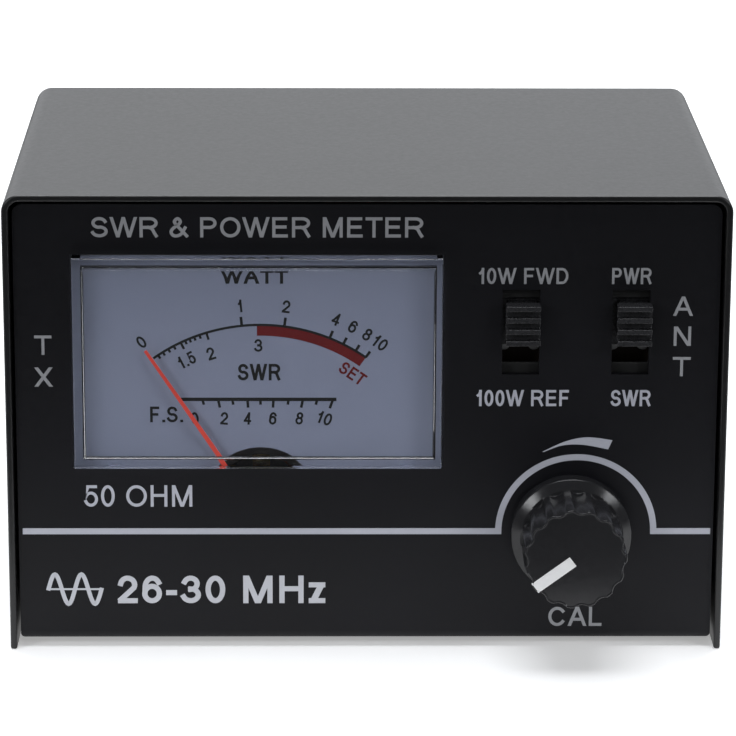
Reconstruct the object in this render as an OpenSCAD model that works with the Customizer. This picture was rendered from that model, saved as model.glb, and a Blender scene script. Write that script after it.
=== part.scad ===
// Standing-wave-ratio and power meter for a two-way radio aerial line.
// A bent steel chassis carries a moving-coil panel meter, two slide switches and a
// calibration pot on its front wall, and two coaxial sockets with a line coupler on
// its rear wall. A U-shaped cover drops over it. Units are millimetres. +Z is up,
// the panel faces -Y, and the origin is on the resting surface under the middle.

/* [Case] */
// Width across the outside of the cover
case_w = 105; // [105:1:120]
// Depth of the cover from front edge to rear edge
case_d = 74; // [74:1:90]
// Height from the flaps' lower edges to the top
case_h = 69; // [69:1:80]
// Thickness of the sheet steel
sheet = 1.0; // [0.8:0.1:1.2]
// Outside radius of the cover's two bends
cover_bend_r = 2.6; // [2:0.1:5]
// How far the front and rear walls sit inside the cover's edges
panel_recess = 1.0; // [0.5:0.5:2]
// Gap between the chassis and the inside of the cover
chassis_gap = 0.5; // [0.3:0.1:0.8]
// Height of the chassis floor's underside
floor_z = 1.2; // [1:0.1:2]
// Radius of the panel's upper corners
panel_corner_r = 1.5; // [1:0.25:4]

/* [Meter] */
// Left edge of the meter window
window_x0 = -42.6; // [-43:0.1:-42]
// Lower edge of the meter window
window_z0 = 28.1; // [27.5:0.1:29]
// Width of the meter window
window_w = 53.5; // [52:0.5:54]
// Height of the meter window
window_h = 31.7; // [30:0.1:32]
// How far the window stands out of the panel
window_proud = 1.5; // [1:0.25:2]
// Wall thickness of the clear window
window_wall = 1.5; // [1:0.25:1.75]
// Sideways position of the needle's pivot
pivot_x = -15.5; // [-17:0.5:-14]
// Height of the needle's pivot
pivot_z = 20; // [19:0.5:21]
// Length of the needle from its pivot to its tip
needle_len = 30.2; // [26:0.1:31]
// Angle of the resting needle from upright, leaning left
needle_rest = 33.6; // [30:0.1:36]

/* [Switches] */
// Sideways position of the range switch's slot
range_x = 22.3; // [21:0.1:23]
// Sideways position of the mode switch's slot
mode_x = 38.2; // [37:0.1:39]
// Height of the middle of both slots
slot_z = 48.45; // [47:0.05:49]
// Width of a slot
slot_w = 5.4; // [5:0.1:6]
// Height of a slot
slot_h = 12.7; // [12:0.1:13]
// Travel of a slider from its upper to its lower stop
slide_travel = 3.2; // [2:0.1:3.4]
// Width of a slider's ribbed grip
grip_w = 5.0; // [4.6:0.1:5.2]
// Height of a slider's ribbed grip
grip_h = 5.9; // [5:0.1:6]
// How far a grip stands out of the panel
grip_proud = 2.8; // [2:0.1:3.5]

/* [Calibration knob] */
// Sideways position of the knob's axis
knob_x = 30; // [29:0.5:31]
// Height of the knob's axis
knob_z = 18.1; // [17:0.1:19]
// Radius of the knob's skirt
skirt_r = 8.85; // [8.4:0.05:9.5]
// Radius of the knob's fluted grip
knob_r = 7.45; // [7:0.05:7.8]
// How far the knob's face stands out of the panel
knob_proud = 12.9; // [12:0.1:14]
// Number of flutes round the knob
flutes = 15; // [10:1:20]
// Angle of the resting pointer from upright, turned to the left
pointer_rest = 127; // [0:1:150]

/* [Sockets] */
// Distance of each socket's axis from the middle
socket_x = 26; // [24:1:28]
// Height of both sockets' axes
socket_z = 34.5; // [30:0.5:38]
// Outside radius of the threaded barrel, over the thread
barrel_r = 7.94; // [7.9:0.01:8]
// Length from the rear wall to the barrel's end
barrel_end = 12.9; // [12:0.1:14]
// Width of the square flange
flange_w = 25.4; // [25:0.1:26]
// Distance between neighbouring flange holes
hole_pitch = 18.26; // [18:0.01:18.5]
// Bore radius of the centre contact
contact_bore_r = 2.0; // [1.95:0.05:2.05]

/* [Hidden] */
$fn = 64;

slack = 0.02;          // gap round a piece that is pressed or bonded in place
running = 0.05;        // radial clearance round a turning shaft
cut = 1;               // how far a cutting solid runs past the surface it cuts

// Case
front_y = -case_d / 2 + panel_recess;     // outer face of the panel
rear_y = case_d / 2 - panel_recess;       // outer face of the rear wall
panel_back = front_y + sheet;
chassis_w = case_w - 2 * (sheet + chassis_gap);
chassis_top = case_h - sheet - chassis_gap;
chassis_bend_r = 1.5;
chassis_edge_r = 1.0;
lip_h = 12;
lip_inset = 1.5;
cover_screw_y = 24;
cover_screw_z = 8;
cover_screw_r = 1.4;
cover_head_r = 2.8;
cover_hole_r = cover_head_r + 0.1;
cover_screw_len = 7;
cover_recess = [3.4, 0.7, 1.8];           // length, width and depth of each arm, doubled
window_gap = 0.2;

// Meter, from front to back
lens_front = front_y - window_proud;
apron_front = panel_back + 0.1;
apron_wall = 0.8;
needle_y = apron_front + 1.15;
needle_t = 0.25;
scale_y = apron_front + 2.3;
scale_t = 0.3;
lens_back = apron_front + 3.9;
housing_back = lens_back + 19;
housing_wall = 1.2;
flange_side = 1.5;
meter_x0 = window_x0 - flange_side;
meter_x1 = window_x0 + window_w + flange_side;
meter_z0 = 8;
meter_z1 = window_z0 + window_h + flange_side;
hairspring_y = apron_front + 3.1;
front_bridge_y = apron_front + 4.3;
bridge_t = 0.8;
coil_front = apron_front + 6.0;
coil_bar = 1.0;
end_gap = 0.5;
core_len = 8;
core_y0 = coil_front + coil_bar + end_gap;
core_y1 = core_y0 + core_len;
coil_back = core_y1 + end_gap + coil_bar;
rear_bridge_y = coil_back + 1.5;
core_r = 5.2;
yoke_r0 = 7.4;
yoke_r1 = 10.4;
coil_r0 = 5.6;
coil_r1 = 6.8;
coil_t = 3;
staff_r = 0.5;
jewel_r = 1.5;
bridge_post_x = 13;
ear_t = 2;
post_r = 2.2;
m2_r = 0.95;
m2_hole_r = m2_r + 0.1;
scale_post_x = 21.5;
scale_post_z = 26.3;
scale_cut_r = 8.5;
scale_inset = 1.35;
scale_cut_z = 21.6;
terminal_x = 12.5;
terminal_z = 52;

// Switches, from front to back
frame_front = panel_back + 0.3;
frame_depth = 5.2;
frame_back = frame_front + frame_depth;
frame_w = 8.6;
frame_h = 19.2;
frame_wall = 0.5;
base_t = 1.2;
grip_ribs = 4;
rib_share = 0.75 / 5.9;
groove_depth = 1.2;
neck_w = 4.2;
mode_offset = 0.4;
range_offset = 0.2;
foot_t = 1.6;
foot_w = 6.6;
foot_h = 8;
contact_t = 1.1;
pin_x = 2.2;
pin_r = 0.45;
pin_stub = 0.8;
switch_mid_z = slot_z + slide_travel / 2;
foot_front = frame_front + frame_wall + 0.2;

// Boards
board_t = 1.6;
control_y = panel_back + 8;
control_x0 = 14;
control_x1 = 49.2;
control_z0 = 6;
control_z1 = 60.5;
coupler_y = rear_y - 12;
coupler_w = 76;
coupler_z0 = 20.5;
coupler_z1 = 48.5;

// Pot and knob, from front to back
knob_base = front_y - 0.4;
knob_face = front_y - knob_proud;
skirt_top = front_y - 2.7;
chamfer_top = front_y - 3.5;
flute_r = 1.6;
flute_depth = 0.45;
pointer_w = 1.7;
pointer_from = 0.5;
pointer_t = 0.4;
knob_hollow_r = 6.4;
knob_hollow_y = front_y - 3.8;
shaft_r = 3;
shaft_front = front_y - 11;
shaft_flat = 2;
flat_start = front_y - 3.5;
bushing_r = 3.5;
bushing_hole_r = bushing_r + 0.1;
bushing_front = front_y - 3.4;
pot_r = 8;
pot_wall = 0.7;
pot_front = panel_back + 0.7;
pot_back = control_y - 0.3;
pot_cavity_front = pot_front + 1.2;
pot_cavity_back = pot_back - 1.0;
pot_pin_z = 6;
pot_pin_pitch = 5;
pot_pin_r = 0.45;

// Sockets, from front to back of the rear wall
flange_t = 1.6;
barrel_bore_r = 6.3;
collar_r = 7.9;
collar_front = rear_y - 3;
wall_hole_r = 8.2;
insulator_front = rear_y - 3.5;
insulator_face = rear_y + 8.4;
contact_r = 2.7;
contact_front = rear_y - 5;
contact_depth = 9;
tail_r = 1.5;
tail_front = coupler_y - 1.2;
m3_r = 1.45;
m3_hole_r = m3_r + 0.15;
m3_head_r = 2.75;
m3_head_h = 1.8;
m3_len = 8.6;
nut_h = 2.4;
nut_across = 5.5;
lug_t = 0.5;
wall_in = rear_y - sheet;

// Wire routes: points [x, y, z] from the start of each wire to its soldered end
wire_r = 0.6;
wire_sides = 8;
wire_steps = 4;
board_back = control_y + board_t;
wire_gap = 0.3;
meter_plus_route = [
    [-3, housing_back + 4.6, 53.4], [-1, housing_back + 7, 57], [8, housing_back + 8, 60],
    [18, housing_back + 3, 60], [20, control_y + 6, 58], [20, board_back + wire_gap, 58]
];
meter_minus_route = [
    [-28, housing_back + 4.6, 53.4], [-26, housing_back + 8, 57], [-12, housing_back + 11, 60],
    [10, housing_back + 10, 58], [24, housing_back + 2, 56], [28, control_y + 6, 55],
    [28, board_back + wire_gap, 55]
];
forward_route = [
    [-22, coupler_y - 0.1, 44], [-22, coupler_y - 5, 44], [-14, 10, 50], [4, -2, 50],
    [20, -12, 42], [24, control_y + 7, 36], [24, board_back + wire_gap, 36]
];
reflected_route = [
    [22, coupler_y - 0.1, 44], [22, coupler_y - 5, 44], [27, 10, 47], [34, -4, 44],
    [38, -14, 38], [38, control_y + 7, 35], [38, board_back + wire_gap, 35]
];
ground_route = [
    [-9.5, rear_y - 5.4, 18.5], [-8, rear_y - 9, 14], [0, 15, 9], [14, 0, 7],
    [30, -14, 8], [42, control_y + 6, 12], [42, board_back + wire_gap, 12]
];

// ---- Shared shapes ----

// Box between two opposite corners
module box(low, high) {
    translate(low) cube(high - low);
}

// Round bar along Y at [x, z]
module bar_y(at, y0, y1, r) {
    translate([at[0], y0, at[1]]) rotate([-90, 0, 0]) cylinder(h = y1 - y0, r = r);
}

// Cone along Y at [x, z], radius r0 at y0 and r1 at y1
module cone_y(at, y0, y1, r0, r1) {
    translate([at[0], y0, at[1]]) rotate([-90, 0, 0]) cylinder(h = y1 - y0, r1 = r0, r2 = r1);
}

// Six-sided bar along Y, size across flats
module hex_y(at, y0, y1, across) {
    translate([at[0], y0, at[1]]) rotate([-90, 0, 0])
        cylinder(h = y1 - y0, r = across / sqrt(3), $fn = 6);
}

// Extrudes an upright XZ outline from y0 to y1
module slab_y(y0, y1) {
    translate([0, y1, 0]) rotate([90, 0, 0]) linear_extrude(y1 - y0) children();
}

// Outline standing on the X axis with round upper corners
module arch(w, h, r) {
    translate([-w / 2, 0]) square([w, h - r]);
    translate([-w / 2 + r, 0]) square([w - 2 * r, h]);
    for (side = [-1, 1]) translate([side * (w / 2 - r), h - r]) circle(r);
}

// Outline of the chassis from the front, with round corners
module chassis_outline() {
    translate([0, floor_z]) intersection() {
        arch(chassis_w, chassis_top - floor_z, panel_corner_r);
        trough(chassis_w, chassis_top - floor_z, chassis_edge_r);
    }
}

// Trough outline with round lower corners
module trough(w, h, r) {
    translate([-w / 2, r]) square([w, h - r]);
    translate([-w / 2 + r, 0]) square([w - 2 * r, h]);
    for (side = [-1, 1]) translate([side * (w / 2 - r), r]) circle(r);
}

// Square outline with four round corners
module rounded_square(w, r) {
    square([w, w - 2 * r], center = true);
    square([w - 2 * r, w], center = true);
    for (sx = [-1, 1], sz = [-1, 1]) translate([sx, sz] * (w / 2 - r)) circle(r);
}

// Places its children at the four flange holes of both sockets
module at_flange_holes() {
    for (side = [-1, 1], sx = [-1, 1], sz = [-1, 1])
        translate([side * socket_x + sx * hole_pitch / 2, 0, socket_z + sz * hole_pitch / 2])
            children();
}

// Turns its children about the meter's pivot to the needle's resting angle
module at_needle_rest() {
    translate([pivot_x, 0, pivot_z]) rotate([0, -needle_rest, 0]) children();
}

// Pan-head screw along Y: the head lies from head_y by head_h towards dir
module pan_screw(at, head_y, dir, head_r, head_h, r, length) {
    head_end = head_y + dir * head_h;
    tip = head_y - dir * length;
    difference() {
        union() {
            bar_y(at, min(head_y, head_end), max(head_y, head_end), head_r);
            bar_y(at, min(head_y, tip), max(head_y, tip), r);
        }
        for (turn = [0, 90])
            translate([at[0], head_end, at[1]]) rotate([0, turn, 0])
                cube([head_r * 1.2, head_h * 1.1, head_r * 0.25], center = true);
    }
}

// Part with a round body and two bent leads, lying along X in front of the coupler
module axial_part(at, body_r, body_len, span) {
    lead_r = 0.3;
    leg_r = 0.36;
    lead_y = coupler_y - body_r - 0.4;
    reach = span / 2 - leg_r;
    translate([at[0] - body_len / 2, lead_y, at[1]]) rotate([0, 90, 0])
        cylinder(h = body_len, r = body_r);
    for (side = [-1, 1]) {
        translate([at[0] + side * body_len / 2, lead_y, at[1]]) rotate([0, side * 90, 0])
            cylinder(h = reach - body_len / 2, r = lead_r);
        bar_y([at[0] + side * reach, at[1]], lead_y - leg_r, coupler_y, leg_r);
    }
}

// Point on the smooth curve through b and c, with neighbours a and d, at t from 0 to 1
function curve_point(a, b, c, d, t) =
    0.5 * (2 * b + (c - a) * t + (2 * a - 5 * b + 4 * c - d) * t * t
        + (3 * b - a - 3 * c + d) * t * t * t);

// Points along a smooth curve through a route
function smooth_route(route) = let (last = len(route) - 1) [
    for (i = [0 : last - 1]) for (step = [0 : wire_steps - 1])
        curve_point(route[max(i - 1, 0)], route[i], route[i + 1], route[min(i + 2, last)],
            step / wire_steps),
    route[last]
];

function unit(v) = v / norm(v);

// Wire swept along a route
module wire(route) {
    path = smooth_route(route);
    last = len(path) - 1;
    rings = [for (i = [0 : last])
        let (
            ahead = unit(path[min(i + 1, last)] - path[max(i - 1, 0)]),
            side = unit(cross(ahead, [0.2, 0.3, 1])),
            up = cross(side, ahead)
        )
        for (k = [0 : wire_sides - 1])
            let (turn = 360 * k / wire_sides)
            path[i] + wire_r * (cos(turn) * side + sin(turn) * up)
    ];
    start_cap = [[for (k = [0 : wire_sides - 1]) k]];
    end_cap = [[for (k = [wire_sides - 1 : -1 : 0]) last * wire_sides + k]];
    walls = [for (i = [0 : last - 1]) for (k = [0 : wire_sides - 1])
        let (
            near = i * wire_sides,
            far = near + wire_sides,
            next = (k + 1) % wire_sides
        )
        [near + k, far + k, far + next, near + next]
    ];
    polyhedron(points = rings, faces = concat(start_cap, walls, end_cap));
}

// ---- Case ----

module cover() {
    color([0.10, 0.10, 0.11]) difference() {
        slab_y(-case_d / 2, case_d / 2) difference() {
            arch(case_w, case_h, cover_bend_r);
            translate([0, -cut])
                arch(case_w - 2 * sheet, case_h - sheet + cut, cover_bend_r - sheet);
        }
        for (side = [-1, 1], end = [-1, 1])
            translate([side * case_w / 2, end * cover_screw_y, cover_screw_z])
                rotate([0, -side * 90, 0]) {
                    cylinder(h = sheet, r1 = cover_hole_r, r2 = cover_hole_r - sheet);
                    translate([0, 0, -cut])
                        cylinder(h = 2 * cut + sheet, r = cover_hole_r - sheet);
                }
    }
}

module chassis() {
    wall_d = rear_y - front_y;
    color([0.07, 0.07, 0.08]) difference() {
        intersection() {
            union() {
                translate([-chassis_w / 2, 0, floor_z]) rotate([90, 0, 90])
                    linear_extrude(chassis_w) difference() {
                        trough(wall_d, chassis_top - floor_z, chassis_bend_r);
                        translate([0, sheet])
                            trough(wall_d - 2 * sheet, chassis_top, chassis_bend_r - sheet);
                    }
                for (side = [-1, 1])
                    translate([side * (chassis_w - sheet) / 2, 0, floor_z + lip_h / 2])
                        cube([sheet, wall_d - 2 * lip_inset, lip_h], center = true);
            }
            slab_y(front_y - cut, rear_y + cut) chassis_outline();
        }
        box([window_x0 - window_gap, front_y - cut, window_z0 - window_gap],
            [window_x0 + window_w + window_gap, panel_back + cut,
             window_z0 + window_h + window_gap]);
        for (x = [range_x, mode_x])
            box([x - slot_w / 2, front_y - cut, slot_z - slot_h / 2],
                [x + slot_w / 2, panel_back + cut, slot_z + slot_h / 2]);
        bar_y([knob_x, knob_z], front_y - cut, panel_back + cut, bushing_hole_r);
        for (side = [-1, 1])
            bar_y([side * socket_x, socket_z], rear_y - sheet - cut, rear_y + cut, wall_hole_r);
        at_flange_holes() bar_y([0, 0], rear_y - sheet - cut, rear_y + cut, m3_hole_r);
        for (end = [-1, 1])
            translate([-case_w / 2, end * cover_screw_y, cover_screw_z]) rotate([0, 90, 0])
                cylinder(h = case_w, r = cover_screw_r + slack);
    }
}

module cover_screws() {
    color([0.75, 0.76, 0.78]) for (side = [-1, 1], end = [-1, 1])
        translate([side * case_w / 2, end * cover_screw_y, cover_screw_z])
            rotate([0, -side * 90, 0]) difference() {
                union() {
                    cylinder(h = cover_head_r - cover_screw_r, r1 = cover_head_r, r2 = cover_screw_r);
                    cylinder(h = cover_screw_len, r = cover_screw_r);
                }
                for (turn = [0, 90]) rotate([0, 0, turn])
                    cube(cover_recess, center = true);
            }
}

// ---- Meter ----

module meter_lens() {
    color([0.85, 0.88, 0.92, 0.4]) difference() {
        union() {
            box([window_x0, lens_front, window_z0],
                [window_x0 + window_w, apron_front + apron_wall, window_z0 + window_h]);
            box([meter_x0, apron_front, meter_z0], [meter_x1, lens_back, meter_z1]);
        }
        box([window_x0 + window_wall, lens_front + window_wall, window_z0 + window_wall],
            [window_x0 + window_w - window_wall, lens_back + cut,
             window_z0 + window_h - window_wall]);
        box([meter_x0 + housing_wall, apron_front + apron_wall, meter_z0 + housing_wall],
            [meter_x1 - housing_wall, lens_back + cut, meter_z1 - housing_wall]);
    }
}

module meter_housing() {
    inner_back = housing_back - housing_wall;
    color([0.06, 0.06, 0.07]) difference() {
        union() {
            difference() {
                box([meter_x0, lens_back, meter_z0], [meter_x1, housing_back, meter_z1]);
                box([meter_x0 + housing_wall, lens_back - cut, meter_z0 + housing_wall],
                    [meter_x1 - housing_wall, inner_back, meter_z1 - housing_wall]);
            }
            for (side = [-1, 1]) {
                bar_y([pivot_x + side * bridge_post_x, pivot_z],
                    rear_bridge_y + bridge_t, inner_back + 0.2, post_r);
                bar_y([pivot_x + side * scale_post_x, scale_post_z],
                    scale_y + scale_t, inner_back + 0.2, post_r);
            }
        }
        for (side = [-1, 1]) {
            bar_y([pivot_x + side * bridge_post_x, pivot_z],
                rear_bridge_y, inner_back - 0.4, m2_r + slack);
            bar_y([pivot_x + side * scale_post_x, scale_post_z],
                scale_y, scale_y + 6, m2_r + slack);
            bar_y([pivot_x + side * terminal_x, terminal_z],
                inner_back - cut, housing_back + cut, 1.2 + slack);
        }
    }
}

module scale_plate() {
    color([0.74, 0.73, 0.78]) difference() {
        box([meter_x0 + scale_inset, scale_y, scale_post_z - 2.6],
            [meter_x1 - scale_inset, scale_y + scale_t, meter_z1 - scale_inset]);
        bar_y([pivot_x, scale_cut_z], scale_y - cut, scale_y + scale_t + cut, scale_cut_r);
        for (side = [-1, 1])
            bar_y([pivot_x + side * scale_post_x, scale_post_z],
                scale_y - cut, scale_y + scale_t + cut, m2_hole_r);
    }
}

module scale_screws() {
    color([0.78, 0.70, 0.45]) for (side = [-1, 1])
        pan_screw([pivot_x + side * scale_post_x, scale_post_z], scale_y, -1, 1.6, 0.9, m2_r, 5);
}

module core_magnet() {
    color([0.45, 0.46, 0.48]) bar_y([pivot_x, pivot_z], core_y0, core_y1, core_r);
}

module yoke_ring() {
    color([0.35, 0.36, 0.38]) difference() {
        union() {
            bar_y([pivot_x, pivot_z], core_y0, core_y1, yoke_r1);
            box([pivot_x - bridge_post_x, core_y1 - ear_t, pivot_z - post_r],
                [pivot_x + bridge_post_x, core_y1, pivot_z + post_r]);
            for (side = [-1, 1])
                bar_y([pivot_x + side * bridge_post_x, pivot_z], core_y1 - ear_t, core_y1, post_r);
        }
        bar_y([pivot_x, pivot_z], core_y0 - cut, core_y1 + cut, yoke_r0);
        for (side = [-1, 1])
            bar_y([pivot_x + side * bridge_post_x, pivot_z],
                core_y1 - ear_t - cut, core_y1 + cut, m2_hole_r);
    }
}

module core_webs() {
    color([0.80, 0.68, 0.35]) difference() {
        for (side = [-1, 1])
            translate([pivot_x, (core_y0 + core_y1) / 2, pivot_z + side * 6.3])
                cube([2.6, core_len - 1, 3.2], center = true);
        bar_y([pivot_x, pivot_z], core_y0, core_y1, core_r + slack);
        difference() {
            bar_y([pivot_x, pivot_z], core_y0, core_y1, yoke_r1);
            bar_y([pivot_x, pivot_z], core_y0 - cut, core_y1 + cut, yoke_r0 - slack);
        }
    }
}

module moving_coil() {
    color([0.72, 0.38, 0.20]) at_needle_rest() difference() {
        box([-coil_r1, coil_front, -coil_t / 2], [coil_r1, coil_back, coil_t / 2]);
        box([-coil_r0, coil_front + coil_bar, -coil_t],
            [coil_r0, coil_back - coil_bar, coil_t]);
    }
}

module coil_staffs() {
    color([0.70, 0.71, 0.73]) {
        bar_y([pivot_x, pivot_z], needle_y - 0.35, coil_front, staff_r);
        bar_y([pivot_x, pivot_z], coil_back, rear_bridge_y + 0.6, staff_r);
    }
}

module needle() {
    tail = 6.5;
    color([0.80, 0.12, 0.05]) at_needle_rest() difference() {
        union() {
            slab_y(needle_y - needle_t / 2, needle_y + needle_t / 2) {
                polygon([[-0.4, 0], [-0.22, needle_len], [0.22, needle_len], [0.4, 0]]);
                translate([-0.4, -tail]) square([0.8, tail]);
            }
            bar_y([0, 0], needle_y - needle_t / 2, needle_y + 0.5, 1.5);
            bar_y([0, -tail], needle_y - needle_t / 2, needle_y + 0.5, 1.15);
        }
        bar_y([0, 0], needle_y - cut, needle_y + cut, staff_r + slack);
    }
}

// Flat brass bridge across the movement, with its jewel hole
module bridge(y) {
    color([0.82, 0.70, 0.38]) difference() {
        union() {
            box([pivot_x - bridge_post_x, y, pivot_z - post_r],
                [pivot_x + bridge_post_x, y + bridge_t, pivot_z + post_r]);
            for (side = [-1, 1])
                bar_y([pivot_x + side * bridge_post_x, pivot_z], y, y + bridge_t, post_r);
        }
        bar_y([pivot_x, pivot_z], y - cut, y + bridge_t + cut, jewel_r + slack);
        for (side = [-1, 1])
            bar_y([pivot_x + side * bridge_post_x, pivot_z],
                y - cut, y + bridge_t + cut, m2_hole_r);
    }
}

module front_bridge() {
    bridge(front_bridge_y);
}

module rear_bridge() {
    bridge(rear_bridge_y);
}

module bridge_spacers() {
    spans = [
        [front_bridge_y + bridge_t, core_y1 - ear_t],
        [core_y1, rear_bridge_y]
    ];
    color([0.80, 0.69, 0.40]) for (side = [-1, 1], span = spans) difference() {
        bar_y([pivot_x + side * bridge_post_x, pivot_z], span[0], span[1], 1.9);
        bar_y([pivot_x + side * bridge_post_x, pivot_z], span[0] - cut, span[1] + cut, m2_hole_r);
    }
}

module bridge_screws() {
    reach = rear_bridge_y - front_bridge_y + 2.4;
    color([0.75, 0.76, 0.78]) for (side = [-1, 1])
        pan_screw([pivot_x + side * bridge_post_x, pivot_z], front_bridge_y, -1, 1.7, 1,
            m2_r, reach);
}

module pivot_jewels() {
    color([0.65, 0.10, 0.20]) for (y = [front_bridge_y, rear_bridge_y]) difference() {
        bar_y([pivot_x, pivot_z], y - 0.3, y + bridge_t + 0.4, jewel_r);
        bar_y([pivot_x, pivot_z], y - cut, y + bridge_t + cut, staff_r + running);
    }
}

// Flat spiral ribbon from r0 to r1
module spiral(r0, r1, turns, width) {
    steps = turns * 16;
    inner = [for (i = [0 : steps])
        let (r = r0 + (r1 - r0) * i / steps, a = 360 * turns * i / steps)
        [r * cos(a), r * sin(a)]];
    outer = [for (i = [steps : -1 : 0])
        let (r = r0 + (r1 - r0) * i / steps + width, a = 360 * turns * i / steps)
        [r * cos(a), r * sin(a)]];
    polygon(concat(inner, outer));
}

module hairsprings() {
    color([0.75, 0.55, 0.30]) for (y = [hairspring_y, coil_back + 0.4])
        translate([pivot_x, 0, pivot_z]) slab_y(y, y + 0.4) spiral(1.0, 3.4, 3, 0.2);
}

module meter_terminals() {
    color([0.80, 0.68, 0.36]) for (side = [-1, 1]) {
        at = [pivot_x + side * terminal_x, terminal_z];
        bar_y(at, housing_back - housing_wall - 0.8, housing_back + 4, 1.2);
        bar_y(at, housing_back, housing_back + 0.8, 2.4);
        box([at[0] - 1.1, housing_back + 2.6, at[1] - 1.2],
            [at[0] + 1.1, housing_back + 3.2, at[1] + 4.2]);
    }
}

// ---- Slide switches ----

module switch_frame(x) {
    opening = grip_h + slide_travel + 0.6;
    color([0.12, 0.12, 0.13]) difference() {
        box([x - frame_w / 2, frame_front, slot_z - frame_h / 2],
            [x + frame_w / 2, frame_back, slot_z + frame_h / 2]);
        box([x - frame_w / 2 + frame_wall, frame_front + frame_wall,
             slot_z - frame_h / 2 + frame_wall],
            [x + frame_w / 2 - frame_wall, frame_back + cut, slot_z + frame_h / 2 - frame_wall]);
        box([x - slot_w / 2, frame_front - cut, slot_z - opening / 2],
            [x + slot_w / 2, frame_front + cut, slot_z + opening / 2]);
    }
}

// Ribbed grip, neck and foot, drawn at the upper stop
module switch_slider(x) {
    mid = switch_mid_z;
    grip_front = front_y - grip_proud;
    grip_back = front_y - 0.3;
    rib = grip_h * rib_share;
    pitch = (grip_h - rib) / (grip_ribs - 1);
    color([0.09, 0.09, 0.10]) {
        difference() {
            box([x - grip_w / 2, grip_front, mid - grip_h / 2],
                [x + grip_w / 2, grip_back, mid + grip_h / 2]);
            for (i = [0 : grip_ribs - 2])
                translate([0, 0, mid - grip_h / 2 + rib + i * pitch])
                    box([x - grip_w, grip_front - cut, 0],
                        [x + grip_w, grip_front + groove_depth, pitch - rib]);
        }
        box([x - neck_w / 2, grip_back, mid - grip_h / 2 + 0.2],
            [x + neck_w / 2, foot_front, mid + grip_h / 2 - 0.2]);
        box([x - foot_w / 2, foot_front, mid - foot_h / 2],
            [x + foot_w / 2, foot_front + foot_t, mid + foot_h / 2]);
    }
}

module switch_contacts(x) {
    mid = switch_mid_z;
    back = foot_front + foot_t;
    color([0.82, 0.70, 0.40]) for (side = [-1, 1])
        box([x + side * pin_x - 0.6, back, mid - 2.6],
            [x + side * pin_x + 0.6, back + contact_t, mid + 2.6]);
}

module at_switch_pins(x) {
    for (side = [-1, 1], row = [-1, 0, 1])
        translate([x + side * pin_x, 0, slot_z + row * slide_travel]) children();
}

module switch_base(x) {
    inner_w = frame_w / 2 - frame_wall - 0.05;
    inner_h = frame_h / 2 - frame_wall - 0.05;
    color([0.45, 0.28, 0.15]) difference() {
        box([x - inner_w, frame_back - base_t, slot_z - inner_h],
            [x + inner_w, frame_back, slot_z + inner_h]);
        at_switch_pins(x) bar_y([0, 0], frame_back - base_t - cut, frame_back + cut, pin_r + slack);
    }
}

module switch_terminals(x) {
    color([0.78, 0.78, 0.76]) at_switch_pins(x) {
        bar_y([0, 0], frame_back - base_t - 0.2, frame_back - base_t, 0.9);
        bar_y([0, 0], frame_back - base_t, control_y + board_t + pin_stub, pin_r);
    }
}

module range_switch_frame() {
    switch_frame(range_x);
}

module range_switch_slider() {
    switch_slider(range_x + range_offset);
}

module range_switch_contacts() {
    switch_contacts(range_x + range_offset);
}

module range_switch_base() {
    switch_base(range_x);
}

module range_switch_terminals() {
    switch_terminals(range_x);
}

module mode_switch_frame() {
    switch_frame(mode_x);
}

module mode_switch_slider() {
    switch_slider(mode_x + mode_offset);
}

module mode_switch_contacts() {
    switch_contacts(mode_x + mode_offset);
}

module mode_switch_base() {
    switch_base(mode_x);
}

module mode_switch_terminals() {
    switch_terminals(mode_x);
}

// ---- Control board and calibration pot ----

module at_pot_pins() {
    for (side = [-1, 0, 1]) translate([knob_x + side * pot_pin_pitch, 0, knob_z - pot_pin_z])
        children();
}

module control_board() {
    color([0.50, 0.36, 0.16]) difference() {
        box([control_x0, control_y, control_z0],
            [control_x1, control_y + board_t, control_z1]);
        for (x = [range_x, mode_x]) at_switch_pins(x)
            bar_y([0, 0], control_y - cut, control_y + board_t + cut, pin_r + 0.15);
        at_pot_pins() bar_y([0, 0], control_y - cut, control_y + board_t + cut, pot_pin_r + 0.15);
    }
}

module cal_pot_body() {
    color([0.70, 0.71, 0.72]) difference() {
        bar_y([knob_x, knob_z], pot_front, pot_back, pot_r);
        bar_y([knob_x, knob_z], pot_cavity_front, pot_cavity_back, pot_r - pot_wall);
        bar_y([knob_x, knob_z], pot_front - cut, pot_cavity_front + cut, bushing_r + slack);
        at_pot_pins() bar_y([0, 0], pot_cavity_back - cut, pot_back + cut, pot_pin_r + 0.05);
    }
}

module cal_pot_bushing() {
    color([0.78, 0.78, 0.78]) difference() {
        union() {
            bar_y([knob_x, knob_z], bushing_front, pot_cavity_front + 0.6, bushing_r);
            bar_y([knob_x, knob_z], pot_cavity_front, pot_cavity_front + 0.6, 5);
        }
        bar_y([knob_x, knob_z], bushing_front - cut, pot_cavity_front + 0.6 + cut,
            shaft_r + running);
    }
}

module cal_pot_shaft() {
    color([0.80, 0.80, 0.80]) translate([knob_x, 0, knob_z]) rotate([0, -pointer_rest, 0])
        difference() {
            bar_y([0, 0], shaft_front, pot_cavity_front + 2.1, shaft_r);
            box([-shaft_r, shaft_front - cut, shaft_flat], [shaft_r, flat_start, shaft_r + cut]);
        }
}

module cal_pot_wiper() {
    disc_y = pot_cavity_front + 2.1;
    color([0.85, 0.85, 0.80]) translate([knob_x, 0, knob_z]) rotate([0, -pointer_rest, 0]) {
        bar_y([0, 0], disc_y, disc_y + 0.8, 6);
        box([-0.8, disc_y + 0.8, 3.6], [0.8, pot_cavity_back - 0.7, 5.2]);
    }
}

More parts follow.
